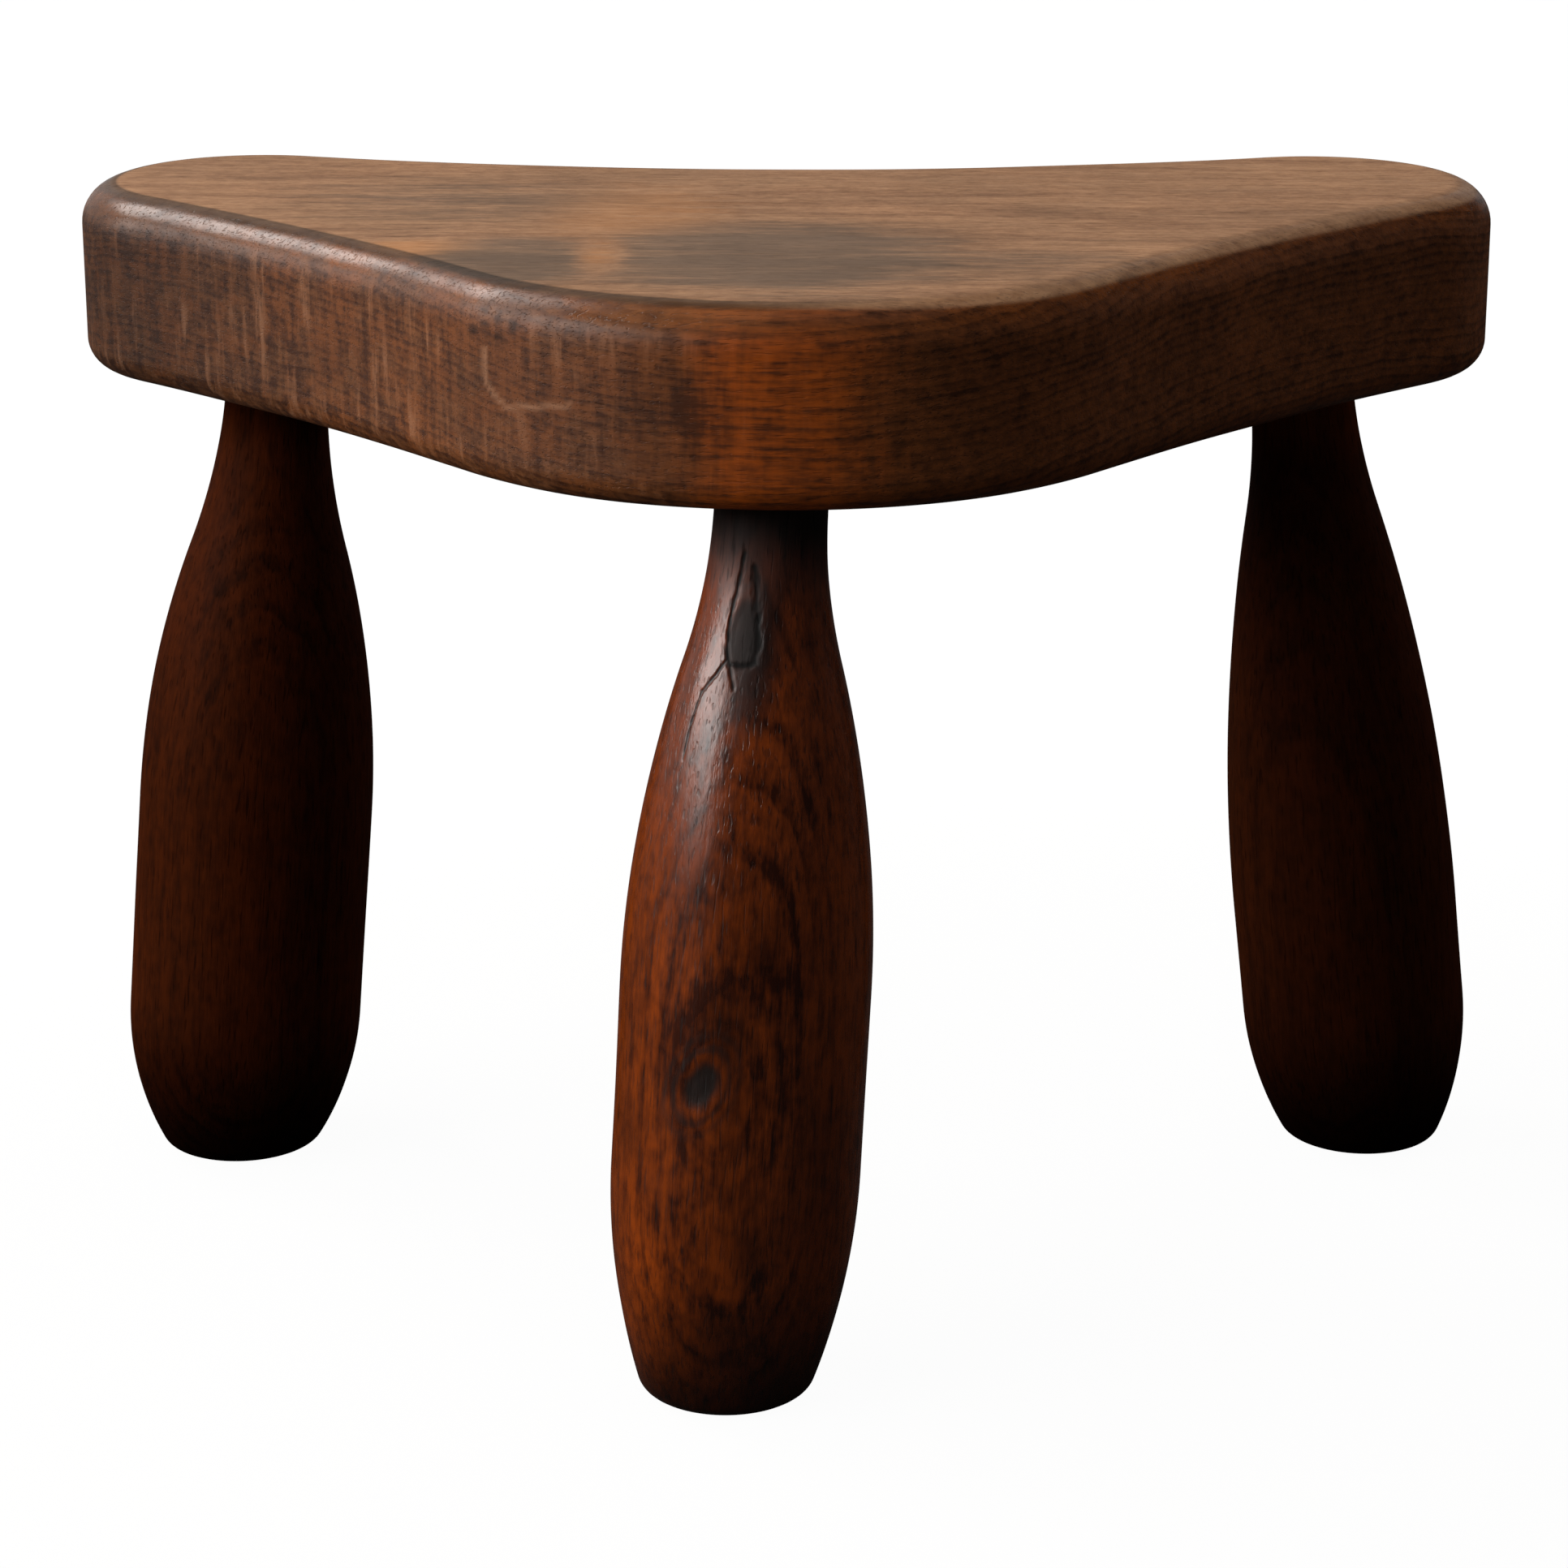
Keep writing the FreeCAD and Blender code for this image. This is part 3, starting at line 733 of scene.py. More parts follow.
def seat_side_wood(wood, grain, colours, rise, left_side):
    """Stained wood of the edge, with a warm glow in front that is partly painted light, and across the left
    side painted sheen, scraper marks painted lighter where the light catches them, and painted shade at its
    end.
    """
    mottled = wood.product(wood.swing(grain.mottle, 1.1), wood.smooth(grain.along, *FAR_LEFT, 1.9, 1.0))
    lines = wood.total(wood.swing(grain.hair, 1.1), wood.swing(grain.line, 1.4),
                       wood.level(grain.rings, 0.5, 0.3), wood.swing(grain.stain, 0.8),
                       wood.swing(grain.speck, 0.5), mottled,
                       wood.product(wood.swing(grain.scrape, -2.1), left_side))
    lines = wood.math("ADD", lines, wood.level(wood.value_of("shade"), 0.5, 0.0), clamp=True)
    # Greyer patches, mostly on the left side: partly greyer wood, partly painted sheen of the light from the
    # left
    bloom = wood.product(wood.smooth(grain.stain, 0.4, 0.6, 0.4, 1.0),
                         wood.smooth(grain.along, *NEAR_LEFT, 1.0, 0.1))
    bloom = wood.mix(bloom, colours.seat_side, colours.seat_side_grey_sheen)
    base = wood.mix(lines, bloom, colours.seat_side_dark)
    # The warm glow is warmer wood made brighter as painted light, and it fades up the round
    warm = wood.mix(wood.product(lines, 0.85), colours.seat_lit_glow, colours.seat_side_dark)
    glow = wood.total(wood.value_of("glow"), wood.swing(grain.stain, 0.7), wood.swing(grain.scrape, 0.7))
    glow = wood.product(wood.smooth(glow, 0.0, 1.0, 0.0, 0.9), wood.smooth(rise, 0.1, 0.7, 1.0, 0.25))
    base = wood.mix(glow, base, warm)
    # Pale scraper marks only on the left side, strongest at its far end: real marks painted lighter where
    # the light catches them, as painted highlight
    lit_scrapes = wood.product(wood.smooth(grain.scrape, 0.52, 0.7), wood.smooth(grain.blotch, 0.42, 0.62),
                       left_side, wood.smooth(grain.along, *FAR_LEFT, 0.75, 0.4))
    base = wood.mix(wood.math("MAXIMUM", lit_scrapes, wood.value_of("scuff")), base, colours.seat_scrape)
    # Painted shade towards the left end of the seat
    return wood.shade(base, wood.smooth(grain.along, *LEFT_END_SHADE, 0.47, 1.0))


def seat_finish(colours):
    """Dark stained slab: pale rubbed top with a smoky heart, redder sides with scraper marks."""
    wood = Finish("seat_wood")
    grain = seat_grain(wood)
    along, blotch = grain.along, grain.blotch
    rise = wood.axes(wood.add("ShaderNodeNewGeometry").outputs["Normal"])[2]

    # The rounded upper edge is rubbed smooth; a dark line of old wax and painted shade lies where the top
    # turns over
    uneven = wood.math("ADD", rise, wood.swing(blotch, 0.16))
    wax_line_and_shade = wood.product(wood.smooth(uneven, 0.84, 0.94), wood.smooth(rise, 0.986, 0.999, 1.0, 0.0),
                          wood.smooth(along, -20.0, 40.0, 0.7, 0.1))
    polish = wood.product(wood.smooth(uneven, 0.15, 0.65), wood.smooth(rise, 0.95, 0.99, 1.0, 0.0))
    raw = wood.math("SUBTRACT", 1.0, polish)
    left_side = wood.product(wood.smooth(along, *NEAR_LEFT, 1.0, 0.1), raw)

    # The pale top reaches further over the round on the right
    reach = wood.math("ADD", rise, wood.smooth(along, 0.0, 70.0, 0.0, 0.15))
    top = wood.smooth(reach, 0.86, 0.975)
    base = wood.mix(top, seat_side_wood(wood, grain, colours, rise, left_side),
                    seat_top_wood(wood, grain, colours))
    # Pale rubbed streaks on the polished round towards the left, where the light falls: wear with painted
    # highlight
    rubbed = wood.product(polish, wood.smooth(blotch, 0.35, 0.65),
                          wood.smooth(along, -20.0, 60.0, 0.25, 0.0))
    base = wood.mix(rubbed, base, colours.seat_scrape)
    tone = wood.product(wood.level(grain.cloud, 0.5, 0.75), wood.level(blotch, 0.6, 0.7),
                        wood.level(grain.vessel, -0.22, 1.0), wood.level(wood.value_of("pit"), -0.7, 1.0),
                        wood.level(wax_line_and_shade, -1.0, 1.0))
    gloss = wood.product(polish, wood.smooth(blotch, 0.35, 0.62, -0.15, -0.31))
    roughness = wood.total(wood.level(top, 0.1, 0.42), gloss, wood.product(grain.line, 0.26),
                           wood.product(grain.vessel, 0.1))
    height = wood.total(wood.product(grain.hair, raw), wood.product(grain.vessel, -0.7),
                        wood.product(grain.scrape, left_side, 0.6))
    return wood.finish(wood.shade(base, tone), roughness, height, SEAT_GRAIN_DEPTH, specular_ior_level=0.3)


# Legs

# Steps of the legs' meshes: over plain wood, fine ones round the knots, and counts down the tenon, the foot
# and the foot's edge
LEG_STEP = 1.5 * MM
KNOT_TURN_STEP = 0.45 * MM
KNOT_DROP_STEP = 0.42 * MM
TENON_STEPS = 14
FOOT_STEPS = 34
FOOT_EDGE_STEPS = 9
SOLE_SHARES = (0.75, 0.5, 0.25)
# Lengths of the waves and facets that shaping left, across and along a leg, and the share of each in the
# depth. They fade out towards the floor and the neck, and each leg takes them from another place.
LEG_WAVES = (30 * MM, 30 * MM, 46 * MM)
LEG_FACETS = (11 * MM, 11 * MM, 60 * MM)
LEG_WAVE_SHARE, FACET_SHARE = 0.75, 0.25
FLOOR_FADE = 26 * MM
NECK_FADE = 22 * MM
WAVES_APART = np.array((7.0, 3.0, 5.0))

# The front leg has the knots. Each mark's place is a turn round the leg and a drop below the seat.
KNOTTED = "front"
Mark = namedtuple("Mark", "turn drop half_width half_height")
ROUND_KNOT = Mark(math.radians(-108), 155 * MM, 5.4 * MM, 8.6 * MM)
LONG_KNOT = Mark(math.radians(-108), 37 * MM, 4.3 * MM, 10.0 * MM)
EYE = Mark(math.radians(-95), 157 * MM, 14.0 * MM, 22.0 * MM)
ROUND_KNOT_LEAN = math.radians(-24)
LONG_KNOT_TAPER = 0.38
ROUND_KNOT_DISH = 0.45 * MM
LONG_KNOT_DISH = 0.3 * MM
CRACK_DEPTH = 0.3 * MM
# Bands round and down the leg that hold the knots and the cracks
KNOT_TURNS = ((math.radians(210), math.radians(285)),)
KNOT_DROPS = ((16 * MM, 78 * MM), (142 * MM, 168 * MM))
# How far each mark pushes the year rings aside, in millimetres, and how many of its half sizes it reaches
SWIRLS = ((ROUND_KNOT, 3.0, 1.6), (LONG_KNOT, 3.0, 1.6), (EYE, 5.0, 1.0))
# Dark figure: half width, strength, then corners round and up the leg from the eye's middle, in millimetres
FIGURE = (
    (4.5, 0.6, ((-14, 4), (-14.5, 14), (-9, 23), (0, 30), (8, 33.5), (15, 31))),
    (2.2, 0.28, ((8, 33), (14, 24), (15.5, 8), (13, -9), (4, -27))),
    (1.6, 0.3, ((-2, 20), (6, 16), (9, 4), (7, -10), (1, -18))),
    (3.0, 0.4, ((-13, -10), (-9, -18), (-1, -25), (4, -27))),
    (2.6, 0.34, ((-9, 49), (-4, 57), (4, 60), (11, 56), (15, 48), (17, 36))),
    (2.4, 0.3, ((-4, 74), (3, 82), (10, 79), (15, 68), (18, 52), (19, 32))),
    (1.3, 0.26, ((2, 97), (9, 98), (14, 90), (19, 74), (21, 50))),
    (1.2, 0.28, ((-7, 14), (1, 12), (4, 2), (2, -10), (-3, -16))),
    (2.8, 0.45, ((-12, -32), (-8, -44), (-2, -58), (3, -65), (9, -60))),
    (1.3, 0.3, ((-22, -30), (-18, -48), (-12, -65), (-4, -76), (6, -74))),
)
# Lighter and darker wood, partly painted light on the lit left flank and painted shade on the right: place
# round and up the leg from the eye's middle, half width, half height, all in millimetres, and change of
# brightness
TONE_AND_LIGHT_PATCHES = (
    (-5, 17, 9, 12, -0.45),
    (8, 41, 7, 10, -0.35),
    (8, -42, 7, 12, -0.55),
    (30, -24, 13, 32, -0.45),
    (-33, -15, 10, 12, -0.4),
    (1, -2, 8, 44, -0.3),
    (2, -67, 11, 10, -0.5),
    (-24, -54, 14, 18, 0.5),
    (-33, -77, 20, 16, 1.3),
    (-15, 26, 10, 20, 0.4),
)
# Cracks round the long knot: half width, then corners round and up the leg from its middle, in millimetres
CRACKS = (
    (0.5, ((-1.5, 21), (-2.5, 12), (-4, 5), (-4, -5), (-2.5, -8))),
    (0.7, ((-2.5, -8), (2.5, -8), (4, -7))),
    (0.9, ((1.5, 17), (3.5, 5), (4.5, -2.5), (4, -7))),
    (0.45, ((-3.5, -7), (-6, -11), (-10, -16))),
    (0.25, ((-10, -16), (-12.5, -25), (-13.5, -34))),
    (0.45, ((-2.5, -8), (-0.5, -14))),
)
# Sooty wood round the long knot: place round and up the leg from its middle, half width and half height,
# in millimetres
SOOT = (4, -3, 9, 27)

# Wood of each leg: turn of the ring centre in degrees, shift of the rings in millimetres, strength of the
# rings, roughness, dust and painted shade under the seat, which darken the wood or, below 0, pale it as
# painted light, and shine
POLISHED = {"specular_ior_level": 0.52, "coat_weight": 0.1, "coat_roughness": 0.28}
DULL = {"specular_ior_level": 0.015}
LEG_LOOKS = {
    "front": {"pith": 82, "shift": -1.3, "bold": 0.55, "dullness": 0.15, "dust_and_shade": 0.93, "shine": POLISHED},
    "left": {"pith": 96, "shift": 0.0, "bold": 0.6, "dullness": 0.5, "dust_and_shade": 0.6, "shine": DULL},
    # The right leg's neck is paled under the seat as painted light
    "right": {"pith": 70, "shift": 0.6, "bold": 0.6, "dullness": 0.5, "dust_and_shade": -1.5, "shine": DULL},
}
# Ring centre's distance from the leg's middle and, so that no two legs look alike, the distance along the
# grain between them, both in millimetres
PITH_GAP = 75.0
LEGS_APART = 900.0
# Painted shade over a stretch above the floor, and where the dust and painted shade under the seat start
# and are full, below the seat
FOOT_SHADE = 58 * MM
DUST_AND_SHADE_START, DUST_AND_SHADE_FULL = 32 * MM, 8 * MM
# Depth of the pores and streaks in the legs and the wedges
LEG_GRAIN_DEPTH = 0.14 * MM
WEDGE_GRAIN_DEPTH = 0.2 * MM


def leg_profile(joint, leg):
    """Radius of a leg at any drop below the seat, and the measures that its foot needs."""
    slope = math.tan(leg["splay"])
    full = SEAT_LOW.z / math.cos(leg["splay"])
    neck, belly, foot = joint.tenon_diameter / 2, leg["belly"] / 2, joint.foot_diameter / 2
    neck_drop = neck * slope + joint.neck_margin
    shoulder, flare = leg["shoulder"], leg["flare"]
    fall, waist = shoulder - neck_drop, belly - neck
    both = (waist**2 + fall**2) / (2 * waist)
    bulge = both - flare
    turn_drop = shoulder - fall * bulge / both
    belly_end = full - leg["foot_rise"]
    inset = belly - foot
    foot_curve = (inset**2 + leg["foot_rise"] ** 2) / (2 * inset)

    def radius(drop):
        drop = np.asarray(drop, float)
        hollow = neck + flare - np.sqrt(np.maximum(flare**2 - (drop - neck_drop) ** 2, 0))
        swell = belly - bulge + np.sqrt(np.maximum(bulge**2 - (shoulder - drop) ** 2, 0))
        toe = belly - foot_curve + np.sqrt(np.maximum(foot_curve**2 - (drop - belly_end) ** 2, 0))
        return np.select([drop < neck_drop, drop < turn_drop, drop < shoulder, drop < belly_end],
                         [neck, hollow, swell, belly], toe)

    return {"radius": radius, "slope": slope, "full": full, "neck_drop": neck_drop, "belly_end": belly_end,
            "foot_centre": (belly - foot_curve, -belly_end), "foot_curve": foot_curve}


def foot_edge(profile, leg, turns, edge_round):
    """Centre of the foot's rounded edge on each meridian, and where it meets the foot and the floor."""
    tilt = np.cos(turns - leg["heading"]) * profile["slope"]
    norm = np.sqrt(1 + tilt**2)
    centre_r, centre_z = profile["foot_centre"]
    reach = profile["foot_curve"] - edge_round
    # The edge's centre is on a line parallel to the floor and at a fixed reach from the curve's centre
    base = -profile["full"] + edge_round * norm - centre_z
    a = 1 + tilt**2
    b = -2 * (centre_r + tilt * base)
    c = centre_r**2 + base**2 - reach**2
    r = (-b + np.sqrt(b**2 - 4 * a * c)) / (2 * a)
    z = -profile["full"] - tilt * r + edge_round * norm
    start = np.arctan2(z - centre_z, r - centre_r)
    stop = np.arctan2(-np.ones_like(tilt), -tilt)
    return r, z, start, stop, tilt


def on_leg(points, mark):
    """Millimetres round and up the leg from a mark's middle."""
    away = (np.arctan2(points[:, 1], points[:, 0]) - mark.turn + math.pi) % math.tau - math.pi
    reach = np.hypot(points[:, 0], points[:, 1])
    return away * reach / MM, (points[:, 2] + mark.drop) / MM


def round_knot(points):
    """How far out in the round knot each point is: 0 at its middle, 1 on its rim."""
    u, v = on_leg(points, ROUND_KNOT)
    cos, sin = math.cos(ROUND_KNOT_LEAN), math.sin(ROUND_KNOT_LEAN)
    across, up = u * cos + v * sin, v * cos - u * sin
    return np.hypot(across / (ROUND_KNOT.half_width / MM), up / (ROUND_KNOT.half_height / MM))


def long_knot(points):
    """The same for the long knot, which is pear-shaped with its point upwards."""
    u, v = on_leg(points, LONG_KNOT)
    up = v / (LONG_KNOT.half_height / MM)
    wide = LONG_KNOT.half_width / MM * (1 - LONG_KNOT_TAPER * np.clip(up, -1, 1))
    return np.hypot(u / wide, up)


def crack_lines(points):
    """Open cracks, 1 along their middle and 0 beside them."""
    u, v = on_leg(points, LONG_KNOT)
    ragged = 1.6 * (rolling(points, (1.4 * MM, 1.4 * MM, 2.4 * MM)) - 0.5)
    depth = np.zeros(len(points))
    for half_width, corners in CRACKS:
        gap = to_polyline(u, v, corners) / half_width + ragged
        depth = np.maximum(depth, 1 - smooth_step(0.0, 1.9, gap))
    return depth


def leg_surface(joint, leg, profile, knotted):
    """A smooth leg in its own frame, and how many of its points lie above the sole."""
    belly = leg["belly"] / 2
    turn_bands, drop_bands = (KNOT_TURNS, KNOT_DROPS) if knotted else ((), ())
    turns = graded(0, math.tau, LEG_STEP / belly, KNOT_TURN_STEP / belly, turn_bands)[:-1]
    ways = np.stack((np.cos(turns), np.sin(turns)), 1)
    surface = Surface()
    rings = []

    def add_ring(radii, heights):
        spread = ways * np.broadcast_to(radii, turns.shape)[:, None]
        rings.append(surface.add_points(np.column_stack((spread, np.broadcast_to(heights, turns.shape)))))

    def add_arc_ring(centre_r, centre_z, radius, turn):
        add_ring(centre_r + radius * np.cos(turn), centre_z + radius * np.sin(turn))

    tenon_end = tenon_reach(joint, leg)
    for height in np.linspace(tenon_end, -profile["neck_drop"], TENON_STEPS, endpoint=False):
        add_ring(joint.tenon_diameter / 2, height)
    drops = graded(profile["neck_drop"], profile["belly_end"], LEG_STEP, KNOT_DROP_STEP, drop_bands)
    for drop in drops[:-1]:
        add_ring(profile["radius"](drop), -drop)
    edge_r, edge_z, start, stop, tilt = foot_edge(profile, leg, turns, joint.foot_edge_round)
    for share in np.linspace(0, 1, FOOT_STEPS, endpoint=False):
        add_arc_ring(*profile["foot_centre"], profile["foot_curve"], share * start)
    for share in np.linspace(0, 1, FOOT_EDGE_STEPS):
        add_arc_ring(edge_r, edge_z, joint.foot_edge_round, start + share * (stop - start))
    above_sole = surface.count
    floor_r = edge_r + joint.foot_edge_round * np.cos(stop)
    for share in SOLE_SHARES:
        add_ring(floor_r * share, -profile["full"] - tilt * floor_r * share)
    for upper, lower in zip(rings, rings[1:]):
        surface.join_rings(lower, upper)
    surface.close_ring(rings[0], (0, 0, tenon_end))
    surface.close_ring(rings[-1], (0, 0, -profile["full"]), flip=True)
    return surface, above_sole


def shaving_depth(points, joint, profile, name):
    """How far hand work, knots and cracks take a leg's surface in."""
    low = smooth_step(0, FLOOR_FADE, points[:, 2] + profile["full"])
    high = smooth_step(0, NECK_FADE, -points[:, 2] - profile["neck_drop"])
    moved = points + WAVES_APART * LEGS.index(name)
    shaping = LEG_WAVE_SHARE * rolling(moved, LEG_WAVES) + FACET_SHARE * rolling(moved, LEG_FACETS)
    depth = joint.turning_wave * shaping * low * high
    if name == KNOTTED:
        dish = ROUND_KNOT_DISH * (1 - smooth_step(0.3, 1.2, round_knot(points)))
        dish += LONG_KNOT_DISH * (1 - smooth_step(0.5, 1.1, long_knot(points)))
        depth += dish + CRACK_DEPTH * crack_lines(points)
    return depth


def leg_mesh(context, name):
    """A leg as hand work left it, with the slot for its wedge."""
    scene = context.scene
    joint, leg = scene.stool_joint, leg_sizes(scene.stool_legs, name)
    profile = leg_profile(joint, leg)
    surface, above_sole = leg_surface(joint, leg, profile, name == KNOTTED)
    points = surface.points()
    depth = shaving_depth(points, joint, profile, name)
    depth[above_sole:] = 0
    reach = np.hypot(points[:, 0], points[:, 1])
    points[:, :2] *= np.where(reach > 1e-6, 1 - depth / np.maximum(reach, 1e-6), 1)[:, None]
    surface.blocks = [points]
    mesh = cut_slot(surface.mesh(f"{name}_leg_turning"), joint, tenon_reach(joint, leg))
    mesh.set_sharp_from_angle(angle=SHARP_ANGLE)
    if name == KNOTTED:
        set_knot_marks(mesh)
    mesh.transform(leg_matrix(leg))
    return mesh


def cut_slot(mesh, joint, reach):
    """The tenon's tapered slot, which the wedge fills."""
    root, mouth = joint.saw_kerf / 2, joint.wedge_thickness / 2
    across = joint.tenon_diameter
    spare = 2 * MM
    widen = (mouth - root) / joint.wedge_length * spare
    section = ((-root, reach - joint.wedge_length), (root, reach - joint.wedge_length),
               (mouth + widen, reach + spare), (-mouth - widen, reach + spare))
    near = [(x, -across, z) for x, z in section]
    far = [(x, across, z) for x, z in section]
    sides = [(k, (k + 1) % 4, 4 + (k + 1) % 4, 4 + k) for k in range(4)]
    cutter_mesh = bpy.data.meshes.new("slot_cutter")
    cutter_mesh.from_pydata(near + far, [], [(3, 2, 1, 0), (4, 5, 6, 7), *sides])
    form = bmesh.new()
    form.from_mesh(cutter_mesh)
    bmesh.ops.recalc_face_normals(form, faces=form.faces)
    form.to_mesh(cutter_mesh)
    form.free()
    scene = bpy.context.scene
    cutter = bpy.data.objects.new("slot_cutter", cutter_mesh)
    blank = bpy.data.objects.new("leg_blank", mesh)
    for item in (cutter, blank):
        scene.collection.objects.link(item)
    saw = blank.modifiers.new("slot", "BOOLEAN")
    saw.operation = "DIFFERENCE"
    saw.solver = "EXACT"
    saw.object = cutter
    shown = blank.evaluated_get(bpy.context.evaluated_depsgraph_get())
    result = bpy.data.meshes.new_from_object(shown)
    if len(result.vertices) <= len(mesh.vertices):
        raise RuntimeError("the tenon's slot was not cut")
    for item in (cutter, blank):
        bpy.data.objects.remove(item)
    bpy.data.meshes.remove(cutter_mesh)
    result.name = mesh.name
    return result


def set_knot_marks(mesh):
    """Where knots, cracks, figure and soot are, and how far the rings turn aside, for the material."""
    points = mesh_points(mesh)
    out = round_knot(points) + 0.16 * (rolling(points, (4 * MM,) * 3) - 0.5)
    core = 1 - smooth_step(0.5, 1.0, out)
    ripple = 0.5 + 0.5 * np.cos(math.tau * (out - 1.28) / 0.5)
    halo = 0.6 * ripple * smooth_step(0.95, 1.1, out) * (1 - smooth_step(1.3, 2.5, out))
    set_values(mesh, "knot", core + halo)
    set_values(mesh, "knot_face", 1 - smooth_step(0.75, 1.1, long_knot(points)))
    set_values(mesh, "crack", crack_lines(points))

    u, v = on_leg(points, EYE)
    figure = np.zeros(len(points))
    ragged = 0.5 * (rolling(points, (4 * MM, 4 * MM, 12 * MM)) - 0.5)
    for half_width, strength, corners in FIGURE:
        gap = to_polyline(u, v, corners) / half_width + ragged
        figure = np.maximum(figure, strength * (1 - smooth_step(0.0, 2.5, gap)))
    set_values(mesh, "figure", figure)
    # Patches of lighter and darker wood, partly painted light on the left flank and painted shade on the
    # right
    patches = np.zeros(len(points))
    for across, up, half_width, half_height, change in TONE_AND_LIGHT_PATCHES:
        gap = np.hypot((u - across) / half_width, (v - up) / half_height)
        patches += change * (1 - smooth_step(0.2, 1.3, gap))
    set_values(mesh, "patches", patches)
    u, v = on_leg(points, LONG_KNOT)
    across, up, half_width, half_height = SOOT
    gap = np.hypot((u - across) / half_width, (v - up) / half_height)
    set_values(mesh, "soot", 1 - smooth_step(0.3, 1.15, gap))

    swirl = np.zeros(len(points))
    for mark, push, spread in SWIRLS:
        u, v = on_leg(points, mark)
        across, up = u * MM / mark.half_width / spread, v * MM / mark.half_height / spread
        swirl += push * np.exp(-(across**2) - up**2)
    set_values(mesh, "swirl", swirl)


def along_leg(leg):
    """Frame of a leg's grain: X up the leg, Y and Z across it."""
    return leg_matrix(leg) @ Matrix(((0, 1, 0, 0), (0, 0, 1, 0), (1, 0, 0, 0), (0, 0, 0, 1)))


def leg_finish(name, leg, colours, look):
    """Stained, oiled leg wood with year rings that close into arches on the swelling belly."""
    wood = Finish(f"{name}_leg_wood")
    light, dark = getattr(colours, f"{name}_light"), getattr(colours, f"{name}_dark")
    grain = wood.vector("ADD", wood.grain_mm(along_leg(leg)), (LEGS_APART * LEGS.index(name), 0.0, 0.0))
    pith_turn = math.radians(look["pith"])
    pith = (PITH_GAP * math.cos(pith_turn), PITH_GAP * math.sin(pith_turn))
    push = wood.math("ADD", wood.value_of("swirl"), look["shift"])
    rings = wood.total(growth_rings(wood, grain, pith, 3.2, 5.0, push),
                       wood.product(growth_rings(wood, grain, pith, 1.4, 5.0, push), 0.3))
    band = fibre(wood, grain, 80.0, 7.0)
    line = fibre(wood, grain, 14.0, 1.6)
    hair = fibre(wood, grain, 7.0, 0.7)
    mottle = wood.noise(grain, (0.22, 0.3, 0.3))
    vessel = pores(wood, grain, 9.0, 0.8)
    cloud = wood.noise(grain, (0.012, 0.03, 0.03), 2.0, 0.55)

    # Rings show where the surface runs along them, and break up into streaks where it cuts across
    across = wood.vector("MULTIPLY", grain, (0.0, 1.0, 1.0))
    facing = wood.vector("DOT_PRODUCT", across, (0.0, *pith))
    facing = wood.math("DIVIDE", facing, wood.vector("LENGTH", across))
    facing = wood.smooth(wood.math("ABSOLUTE", facing), 0.45 * PITH_GAP, 0.95 * PITH_GAP, 0.15, 1.0)
    patchy = wood.smooth(wood.noise(grain, (0.02, 0.06, 0.06)), 0.3, 0.6, 0.45, 1.0)
    lines = wood.total(wood.swing(band, 1.0), wood.swing(line, 1.4), wood.swing(hair, 0.8),
                       wood.swing(mottle, 1.2), wood.product(rings, patchy, facing, look["bold"]),
                       wood.level(wood.value_of("figure"), 0.8, 0.24))
    base = wood.mix(wood.level(lines, 1.0, 0.0, clamp=True), light, dark)

    # Soot, dust and painted shade under the seat, and painted shade on the foot, then the knots and cracks
    # over them
    above_floor = wood.axes(wood.add("ShaderNodeTexCoord").outputs["Object"])[2]
    dust_and_shade_zone = wood.smooth(above_floor, SEAT_LOW.z - DUST_AND_SHADE_START, SEAT_LOW.z - DUST_AND_SHADE_FULL)
    soot, crack, knot, knot_face = (wood.value_of(mark) for mark in ("soot", "crack", "knot", "knot_face"))
    shade_and_grime = wood.product(wood.smooth(above_floor, 0.0, FOOT_SHADE, 0.1, 1.0),
                         wood.level(dust_and_shade_zone, -look["dust_and_shade"], 1.0), wood.level(soot, -0.85, 1.0))
    # The patches add painted light and shade as well as lighter and darker wood
    tone = wood.product(wood.level(cloud, 0.9, 0.55), wood.level(vessel, -0.4, 1.0), shade_and_grime,
                        wood.level(wood.value_of("patches"), 1.0, 1.0))
    base = wood.shade(base, tone)
    base = wood.mix(wood.product(knot_face, 0.85), base, colours.knot_face)
    base = wood.mix(wood.product(knot, 0.95), base, colours.knot)
    base = wood.mix(crack, base, wood.shade(colours.knot, 0.3))
    roughness = wood.total(wood.level(line, 0.2, look["dullness"]), wood.product(vessel, 0.1),
                           wood.product(crack, 0.3), wood.product(dust_and_shade_zone, 0.6), wood.product(soot, 0.25),
                           wood.product(knot_face, 0.4), wood.product(knot, 0.12))
    height = wood.total(line, wood.product(vessel, -0.35), wood.product(crack, -0.6))
    return wood.finish(base, roughness, height, LEG_GRAIN_DEPTH, **look["shine"])


def wedge_finish(colours):
    """Raw split wood of the hidden wedges."""
    wood = Finish("wedge_wood")
    upright = Matrix.Rotation(math.radians(-90), 4, "Y")
    streak = fibre(wood, wood.grain_mm(upright), 20.0, 0.8)
    base = wood.shade(colours.wedge, wood.level(streak, 1.1, 0.4))
    roughness = wood.level(streak, 0.2, 0.6)
    return wood.finish(base, roughness, streak, WEDGE_GRAIN_DEPTH, specular_ior_level=0.3)


# Stage

WHITE = (1.0, 1.0, 1.0)
# Camera as fitted to the photograph, with its angles in radians and its lens and sensor in millimetres
CAMERA_PLACE = (8.4 * MM, -1200.3 * MM, 525.6 * MM)
CAMERA_PITCH = 0.311
CAMERA_PAN = 0.007
CAMERA_LENS = 101.5
CAMERA_SENSOR = 36.0
CAMERA_REACH = 50.0
STAGE_MIDDLE = Vector((0.0, 0.0, 0.16))
